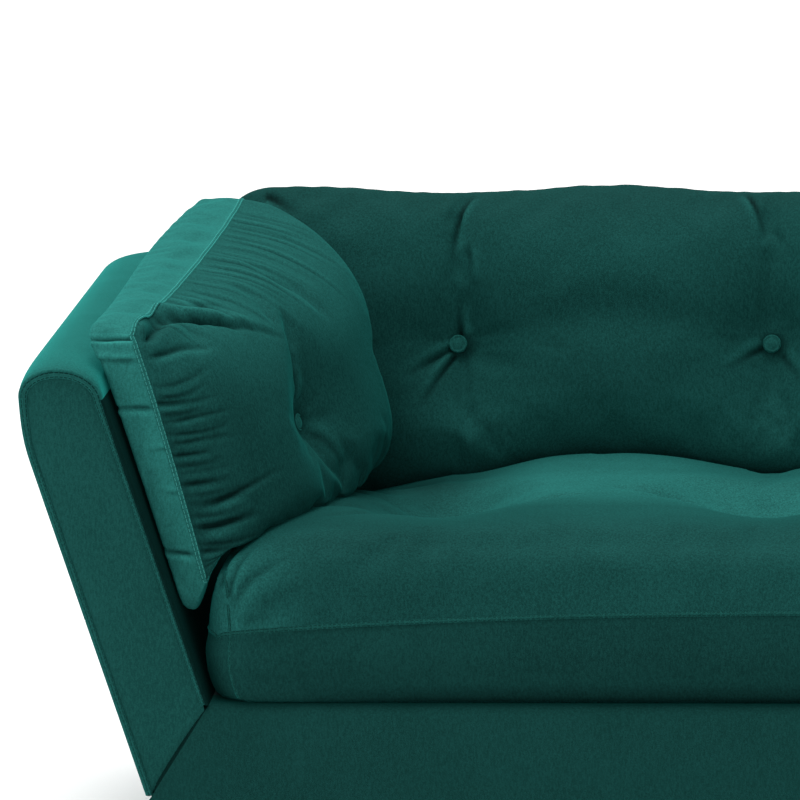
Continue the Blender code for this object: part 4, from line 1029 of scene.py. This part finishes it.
# Arm cushions. A loose boxed cushion leans on each arm and stands on the seat, softly filled, its inner
# face swelling forward round one button, with a flanged double-stitched seam all round that face.
ARM_FRONT = FRONT_Y + 0.040
ARM_FOOT_Z = 0.333
ARM_FOOT_CLIMB = 0.069
ARM_HEAD = 0.042
ARM_HEAD_CLIMB = 0.083
ARM_REAR_GAP = 0.003
ARM_CORNER = 0.032
ARM_BOW = 0.010
ARM_PULL = 0.010
ARM_LAP_FRONT = 0.006
ARM_LAP_MIDDLE = 0.022
ARM_LAP_LATE = 1.6
ARM_LAP_ABOVE = 0.026
ARM_LAP_RUN = 0.032
ARM_WIDER = 0.007
ARM_GAP = 0.0009
ARM_GAP_CLIMB = 0.011
ARM_TURN = 0.100
ARM_BOXING = 0.033
ARM_BOXING_CLIMB = 0.010
ARM_FRONT_ROLL = 0.420
ARM_REAR_ROLL = 0.070
ARM_FOOT_ROLL = 0.110
ARM_HEAD_ROLL = 0.180
ARM_HEAD_TIGHTER = 0.060
ARM_CROWN = 0.140
ARM_TUFT_ALONG = 0.2510
ARM_TUFT_SHARE = 0.472
ARM_TUFT_DEPTH = 0.027
ARM_TUFT_SPREAD = 0.058
ARM_BUTTON_SINK = 0.017
ARM_BUTTON_CUP = 0.014
ARM_CUP_SPREAD = 0.014
ARM_SEAT_ROOM = 0.006
ARM_OVER_SEAT = 0.006
ARM_SEAT_LAP = 0.010
ARM_STEP = 0.0085
ARM_FRONT_SHARE = 0.004
ARM_BAND = 0.040
GATHER_SEED = 11
BACK_ROOM = 0.090
BACK_FACE_OFF = BACK_GAP + BACK_GAP_TAPER * BACK_HEIGHT + BACK_SEAM + BACK_ROOM
# A lighter copy of the velvet: painted light on the arm cushions' seam ridge.
lit_arm_seam_velvet = stitched_velvet(
    "arm seam painted light velvet", (0.0115, 0.090, 0.079), (0.0200, 0.150, 0.134), (0.055, 0.300, 0.270)
)
# A lighter copy of the velvet: painted light on the arm cushions' boxing.
lit_arm_boxing_velvet = velvet("arm boxing painted light velvet", (0.0140, 0.110, 0.098), (0.0225, 0.165, 0.147), 0.32)


def arm_edges(along):
    """Lower and upper edge at a share of the length: both climb straight to the back, the upper one more."""
    return ARM_FOOT_Z + ARM_FOOT_CLIMB * along, SHOULDER_Z + ARCH_RISE + ARM_HEAD + ARM_HEAD_CLIMB * along


def arm_rear(z):
    """Where the cushion stops: a plane just in front of the back cushion, leaning with it."""
    return REAR_Y - SLAB + (z - SHOULDER_Z) * SLOPE - (BACK_FACE_OFF + ARM_REAR_GAP) / math.cos(LEAN)


arm_low, arm_high = arm_edges(0.5)
ARM_HEIGHT = arm_high - arm_low
ARM_LENGTH = arm_rear((arm_low + arm_high) / 2) - ARM_FRONT


def seat_floor(x, y):
    """Height of the seat's crown under a point: the dropping seam and the rolled edges, without tufts."""
    end = SEAT_HALF + SEAT_END_LEAN
    rise = seat_shoulder(end - np.clip(x, 0, end)) * seat_shoulder(y - SEAT_FRONT)
    rise = rise * rolled_edge(SEAT_REAR - np.clip(y, SEAT_FRONT, SEAT_REAR), SEAT_REAR_ROLL)
    back_share = 2 * (y - SEAT_FRONT) / (SEAT_REAR - SEAT_FRONT) - 1
    drop = SEAT_SEAM_DROP * np.clip(x / end, 0, 1) ** SEAT_DROP_POWER * np.clip(0.5 - back_share, 0, 1)
    return SEAT_SEAM_Z - drop + (SEAT_CROWN + ARM_SEAT_ROOM + drop) * rise


def arm_tuft_away(along, up):
    """Distance from the button, in metres over the face, for shares of its length and height."""
    return np.hypot(along * ARM_LENGTH - ARM_TUFT_ALONG, (up - ARM_TUFT_SHARE) * ARM_HEIGHT)


def arm_place(along, up, share):
    """The inner face for share 1, swelling slowly from the front and steeply at the rear round one tuft, and
    the boxing back to the flat face. That one turns away from the arm towards the back and laps over the
    arm's top, and no point sinks into the seat."""
    round_along, round_up = round_corners(along, up, ARM_LENGTH, ARM_HEIGHT, ARM_CORNER)
    bow = ARM_BOW * (1 - (2 * round_up - 1) ** 2)
    low, high = arm_edges(round_along)
    z = low + round_up * (high - low - ARM_PULL * 4 * round_along * (1 - round_along))
    front = ARM_FRONT + bow
    y = front + round_along * (arm_rear(z) - bow - front)
    lap = ARM_LAP_FRONT * (1 - along) + ARM_LAP_MIDDLE * np.sin(math.pi * along**ARM_LAP_LATE)
    lap = lap * ramp(z, SHOULDER_Z + ARM_LAP_ABOVE, ARM_LAP_RUN) * (1 - share)
    wider = ARM_WIDER * up * (1 - along)
    off = ARM_GAP + ARM_GAP_CLIMB * up - wider - lap + ARM_TURN * along
    off = off + (ARM_BOXING + ARM_BOXING_CLIMB * up + wider) * share
    if share == 1.0:
        ends = rolled_edge(along * ARM_LENGTH, ARM_FRONT_ROLL)
        ends = ends * rolled_edge((1 - along) * ARM_LENGTH, ARM_REAR_ROLL)
        edges = rolled_edge(up * ARM_HEIGHT, ARM_FOOT_ROLL)
        edges = edges * rolled_edge((1 - up) * ARM_HEIGHT, ARM_HEAD_ROLL - ARM_HEAD_TIGHTER * along)
        away = arm_tuft_away(along, up)
        dip = tuft_dip(away, ARM_TUFT_DEPTH, ARM_TUFT_SPREAD) + tuft_dip(away, ARM_BUTTON_CUP, ARM_CUP_SPREAD)
        off = off + ends * edges * (ARM_CROWN - dip)
    x = HALF_WIDTH - SLAB + (z - SHOULDER_Z) * SLOPE - off
    lifted = np.maximum(z, seat_floor(x - ARM_SEAT_LAP, y) + ARM_OVER_SEAT)
    return np.stack([x, y, np.where(x < SEAT_HALF + SEAT_END_LEAN + ARM_SEAT_LAP, lifted, z)], axis=-1)


# The deep folds of the inner face, in metres behind its front seam and above its foot: tucks under the top
# corner, one fold above and one below the button, and short ones in from the front seam.
ARM_FOLDS = [
    (((0.006, 0.338), (0.070, 0.348), (0.115, 0.336), (0.180, 0.290)), 0.0052, 0.0135, 0.06, 1),
    (((0.080, 0.346), (0.120, 0.333), (0.165, 0.307), (0.220, 0.272)), 0.0042, 0.0085, 0.30, 1),
    (((0.002, 0.318), (0.035, 0.318), (0.065, 0.312), (0.100, 0.302)), 0.0036, 0.0036, 0.10, -1),
    (((0.246, 0.186), (0.238, 0.225), (0.230, 0.275)), 0.0050, 0.0060, 0.10, -1),
    (((0.258, 0.150), (0.280, 0.122), (0.292, 0.070)), 0.0050, 0.0016, 0.20, 1),
    (((0.140, 0.343), (0.160, 0.340), (0.185, 0.330)), 0.0026, 0.0022, 0.15, 1),
    (((0.000, 0.262), (0.020, 0.259), (0.055, 0.253)), 0.0028, 0.0036, 0.10, -1),
    (((0.002, 0.130), (0.030, 0.139), (0.060, 0.146), (0.115, 0.150)), 0.0034, 0.0042, 0.20, -1),
    (((0.002, 0.104), (0.025, 0.108), (0.060, 0.111)), 0.0032, 0.0036, 0.15, -1),
]
# Creases across the front boxing, in metres above the foot and across the band.
BOXING_FOLDS = [
    (((0.255, 0.040), (0.2555, 0.005), (0.254, -0.030)), 0.0026, 0.0036, 0.10, -1),
    (((0.316, 0.040), (0.315, 0.005), (0.316, -0.030)), 0.0030, 0.0024, 0.10, 1),
    (((0.075, 0.040), (0.078, 0.005), (0.076, -0.030)), 0.0028, 0.0030, 0.10, -1),
    (((0.347, 0.040), (0.347, 0.005), (0.347, -0.030)), 0.0024, 0.0034, 0.02, -1),
    (((0.205, 0.040), (0.204, 0.028), (0.203, 0.015)), 0.0026, 0.0014, 0.10, 1),
    (((0.150, 0.040), (0.151, 0.028), (0.153, 0.015)), 0.0026, 0.0014, 0.10, 1),
]


def arm_gathers(seed):
    """Small creases where the full face is gathered into the seam: along the front they run in and rise or
    fall a little, along the top they run down and back, each with a length, width and depth of its own."""
    draw = np.random.default_rng(seed)
    creases = []
    for height in np.cumsum(draw.uniform(0.008, 0.015, 26)) + 0.040:
        if height < ARM_HEIGHT - 0.070:
            length = draw.uniform(0.020, 0.065)
            end = (length, height + length * draw.uniform(-0.12, 0.16))
            line = ((0.0, height), (length / 2, height + length * draw.uniform(-0.06, 0.10)), end)
            creases.append((line, draw.uniform(0.0022, 0.0040), draw.uniform(0.0008, 0.0030), 0.15, -1))
    for along in np.cumsum(draw.uniform(0.007, 0.024, 40)) + 0.050:
        if along < ARM_LENGTH - 0.070:
            length = draw.uniform(0.030, 0.105)
            end = (along + length * 0.40, ARM_HEIGHT - length)
            line = ((along, ARM_HEIGHT), (along + length * 0.12, ARM_HEIGHT - length * 0.5), end)
            creases.append((line, draw.uniform(0.0022, 0.0038), draw.uniform(0.0006, 0.0022), 0.10, 1))
    return creases


def arm_painted_shading(cloth, face, front):
    """Painted shade and light on an arm cushion: on the face darker low at the front, lighter above and a
    painted shadow round the button, and on the front of the boxing lighter towards the top."""
    along, up = cloth[:, 0], cloth[:, 1]
    lit = ramp(up * ARM_HEIGHT, 0.230, 0.080)
    painted_tone = 0.32 * bell(along * ARM_LENGTH, 0.140) * (1 - lit) - 0.32 * lit
    painted_tone = painted_tone + 0.60 * np.exp(-((arm_tuft_away(along, up) / 0.0175) ** 4))
    return np.where(face, painted_tone, np.where(front, -0.28 * ramp(up, 0.20, 0.40), 0.0))


def arm_cushion(side, side_name):
    """The right cushion's points, mirrored for the left one, then filled, creased and seamed."""
    along_lines = lines(0.0, ARM_LENGTH, ARM_STEP) / ARM_LENGTH
    up_lines = lines(0.0, ARM_HEIGHT, ARM_STEP) / ARM_HEIGHT
    cushion, loops = boxed_cushion(
        "arm_cushion_cover_" + side_name, along_lines, up_lines,
        lambda along, up, share: arm_place(along, up, share) * np.array((side, 1.0, 1.0)),
        np.linspace(1, 0, 6)[1:], cushion_velvet, lit_arm_boxing_velvet, (side * 0.86, -0.15, 0.55),
    )
    along, up = (grid.ravel() for grid in np.meshgrid(along_lines, up_lines, indexing="ij"))
    tuft = np.flatnonzero(arm_tuft_away(along, up) < TUFT_SEWN)
    fill_cushion(cushion, np.concatenate([loops[0], *loops[-2:], tuft]), spare=0.03, cap=0.009)
    close_cover(cushion, levels=2)
    cloth = cloth_places(cushion)
    face = cloth[:, 2] > FACE_SHARE
    front = (cloth[:, 0] < ARM_FRONT_SHARE) & (cloth[:, 2] < FACE_SHARE)
    creases = ARM_FOLDS + arm_gathers(GATHER_SEED + side)
    press_creases(cushion, cloth[:, :2] * np.array((ARM_LENGTH, ARM_HEIGHT)), face, creases)
    # Painted shade and light on the arm cushion.
    paint_shading(cushion, arm_painted_shading(cloth, face, front))
    press_creases(cushion, cloth[:, [1, 2]] * np.array((ARM_HEIGHT, ARM_BAND)), front, BOXING_FOLDS)
    seam = np.append(loops[0], loops[0, 0])
    seam_ridge(cushion, seam, "arm_cushion_" + side_name, lit_arm_seam_velvet, "_seam", 0.0070, 0.0020)
    return cushion


for side, side_name in SIDES:
    cushion = arm_cushion(side, side_name)
    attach(cushion, "arm_cushion_" + side_name)
    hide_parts("arm_cushion_" + side_name)

# Covered buttons. Domed steel shells covered with a lighter copy of the velvet, as painted light, with a
# raised rim where the cloth is drawn over the shell's edge, pulled into the tufts by a cord through each
# cushion.
BUTTON_RADIUS = 0.0115
BUTTON_PLEATS = 9
BUTTON_PLEAT_DEPTH = 0.012
BUTTON_PLEATS_FROM = 0.7
BUTTON_INSIDE = 0.004
BUTTON_BRUSH = (9.0, 9.0, 9.0)
# A lighter copy of the velvet: painted light on the button faces.
lit_button_velvet = velvet("button painted light velvet", (0.0092, 0.073, 0.064), (0.0165, 0.122, 0.109), 0.32, BUTTON_BRUSH)


def covered_button(name, node, sink):
    """A profile of dome, groove and rim, with fine pleats in the rim, turned about the axis of the plain
    button that it stands for, and sunk into the cushion. The axis is the direction in which that button's
    points spread least."""
    plain = read_points(frame["nodes"][node].data)
    middle = plain.mean(axis=0)
    across, up, axis = np.linalg.svd(plain - middle, full_matrices=False)[2]
    facing = {"seat": (0.0, 0.0, 1.0), "back": (0.0, -1.0, 0.2), "arm": (-np.sign(middle[0]), 0.0, 0.0)}
    axis = axis * np.sign(axis @ np.array(facing[node.split("_")[0]]))
    low = ((plain - middle) @ axis).min() - sink
    share = np.array((0.02, 0.25, 0.50, 0.66, 0.74, 0.82, 0.92, 1.00, 1.02, 0.96, 0.80))
    height = np.array((6.9, 6.8, 6.2, 5.5, 5.3, 5.9, 5.8, 4.6, 2.6, 0.9, 0.1)) / 1000
    turn = np.linspace(0, 2 * math.pi, 36, endpoint=False)
    wheel = np.cos(turn)[:, None] * across + np.sin(turn)[:, None] * up
    pleats = np.sin(turn * BUTTON_PLEATS)[:, None] * np.clip(share - BUTTON_PLEATS_FROM, 0, 1)
    reach = (share * BUTTON_RADIUS * (1 + BUTTON_PLEAT_DEPTH * pleats)).T
    rows = middle + axis * (low + height)[:, None, None] + wheel * reach[..., None]
    quads = strip_quads(*rows.shape[:2], wrap=True)
    return cloth_mesh(name, rows, quads, lit_button_velvet, middle - axis * BUTTON_INSIDE)


for node, body in sorted((node, node_body["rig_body"]) for node, node_body in frame["nodes"].items()):
    if "button" in node:
        button = covered_button(node + "_cover", node, ARM_BUTTON_SINK if node.startswith("arm") else 0.0)
        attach(button, body)
        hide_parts(node)

# Legs and glides. Turned hardwood cones, stained dark and lacquered, on a hanger bolt, each with a
# plastic glide nailed under it.


def plain_finish(name, colour, other, scale, roughness, metallic=0.0, bump=0.0):
    """Two tones mixed by a noise stretched along the piece, with the same noise in the bump."""
    finish = bpy.data.materials.new(name)
    finish.use_nodes = True
    nodes = finish.node_tree.nodes
    links = finish.node_tree.links
    shader = nodes["Principled BSDF"]
    shader.inputs["Roughness"].default_value = roughness
    shader.inputs["Metallic"].default_value = metallic
    place = nodes.new("ShaderNodeTexCoord")
    stretch = nodes.new("ShaderNodeMapping")
    stretch.inputs["Scale"].default_value = scale
    links.new(place.outputs["Object"], stretch.inputs["Vector"])
    grain = nodes.new("ShaderNodeTexNoise")
    grain.inputs["Scale"].default_value = 1.0
    grain.inputs["Detail"].default_value = 5.0
    grain.inputs["Distortion"].default_value = 0.6
    links.new(stretch.outputs["Vector"], grain.inputs["Vector"])
    tones = nodes.new("ShaderNodeValToRGB")
    tones.color_ramp.elements[0].position = 0.35
    tones.color_ramp.elements[0].color = (*colour, 1.0)
    tones.color_ramp.elements[1].position = 0.65
    tones.color_ramp.elements[1].color = (*other, 1.0)
    links.new(grain.outputs["Fac"], tones.inputs["Fac"])
    links.new(tones.outputs["Color"], shader.inputs["Base Color"])
    raised = nodes.new("ShaderNodeBump")
    raised.inputs["Strength"].default_value = bump
    raised.inputs["Distance"].default_value = 0.0005
    links.new(grain.outputs["Fac"], raised.inputs["Height"])
    links.new(raised.outputs["Normal"], shader.inputs["Normal"])
    return finish


def refinish(words, finish):
    """Gives every shown solid whose name starts with one of the words this finish."""
    for node, solid in frame["nodes"].items():
        if node.startswith(words):
            solid.data.materials.clear()
            solid.data.materials.append(finish)


stained_wood = plain_finish(
    "stained wood", (0.030, 0.015, 0.008), (0.075, 0.040, 0.020), (130, 130, 9), 0.36, bump=0.25
)
refinish(("leg_",), stained_wood)
glide_plastic = plain_finish(
    "glide plastic", (0.020, 0.020, 0.021), (0.034, 0.034, 0.035), (300, 300, 300), 0.5, bump=0.2
)
refinish(("glide_",), glide_plastic)

# Frame inside. Sawn hardwood rails, posts and corner blocks, glued and screwed, with zigzag steel springs
# clipped across the seat, a felt-backed deck cloth over them, and a thin black cloth stapled underneath.
timbers = (
    "front_rail", "rear_rail", "side_rail", "stretcher", "corner_block",
    "arm_post", "arm_top", "back_post", "back_top",
)
sawn_hardwood = plain_finish(
    "sawn hardwood", (0.44, 0.29, 0.15), (0.62, 0.45, 0.27), (9, 60, 60), 0.75, bump=0.5
)
refinish(timbers, sawn_hardwood)
spring_steel = plain_finish(
    "spring steel", (0.28, 0.28, 0.29), (0.42, 0.42, 0.43), (90, 90, 90), 0.38, metallic=1.0, bump=0.2
)
refinish(("spring_",), spring_steel)
deck_cloth = plain_finish(
    "deck cloth", (0.006, 0.030, 0.027), (0.010, 0.045, 0.041), (900, 900, 900), 0.95, bump=0.6
)
refinish(("seat_deck",), deck_cloth)
dust_cloth = plain_finish(
    "dust cloth", (0.012, 0.012, 0.012), (0.030, 0.030, 0.031), (700, 700, 700), 0.95, bump=0.6
)
refinish(("dust_cover",), dust_cloth)
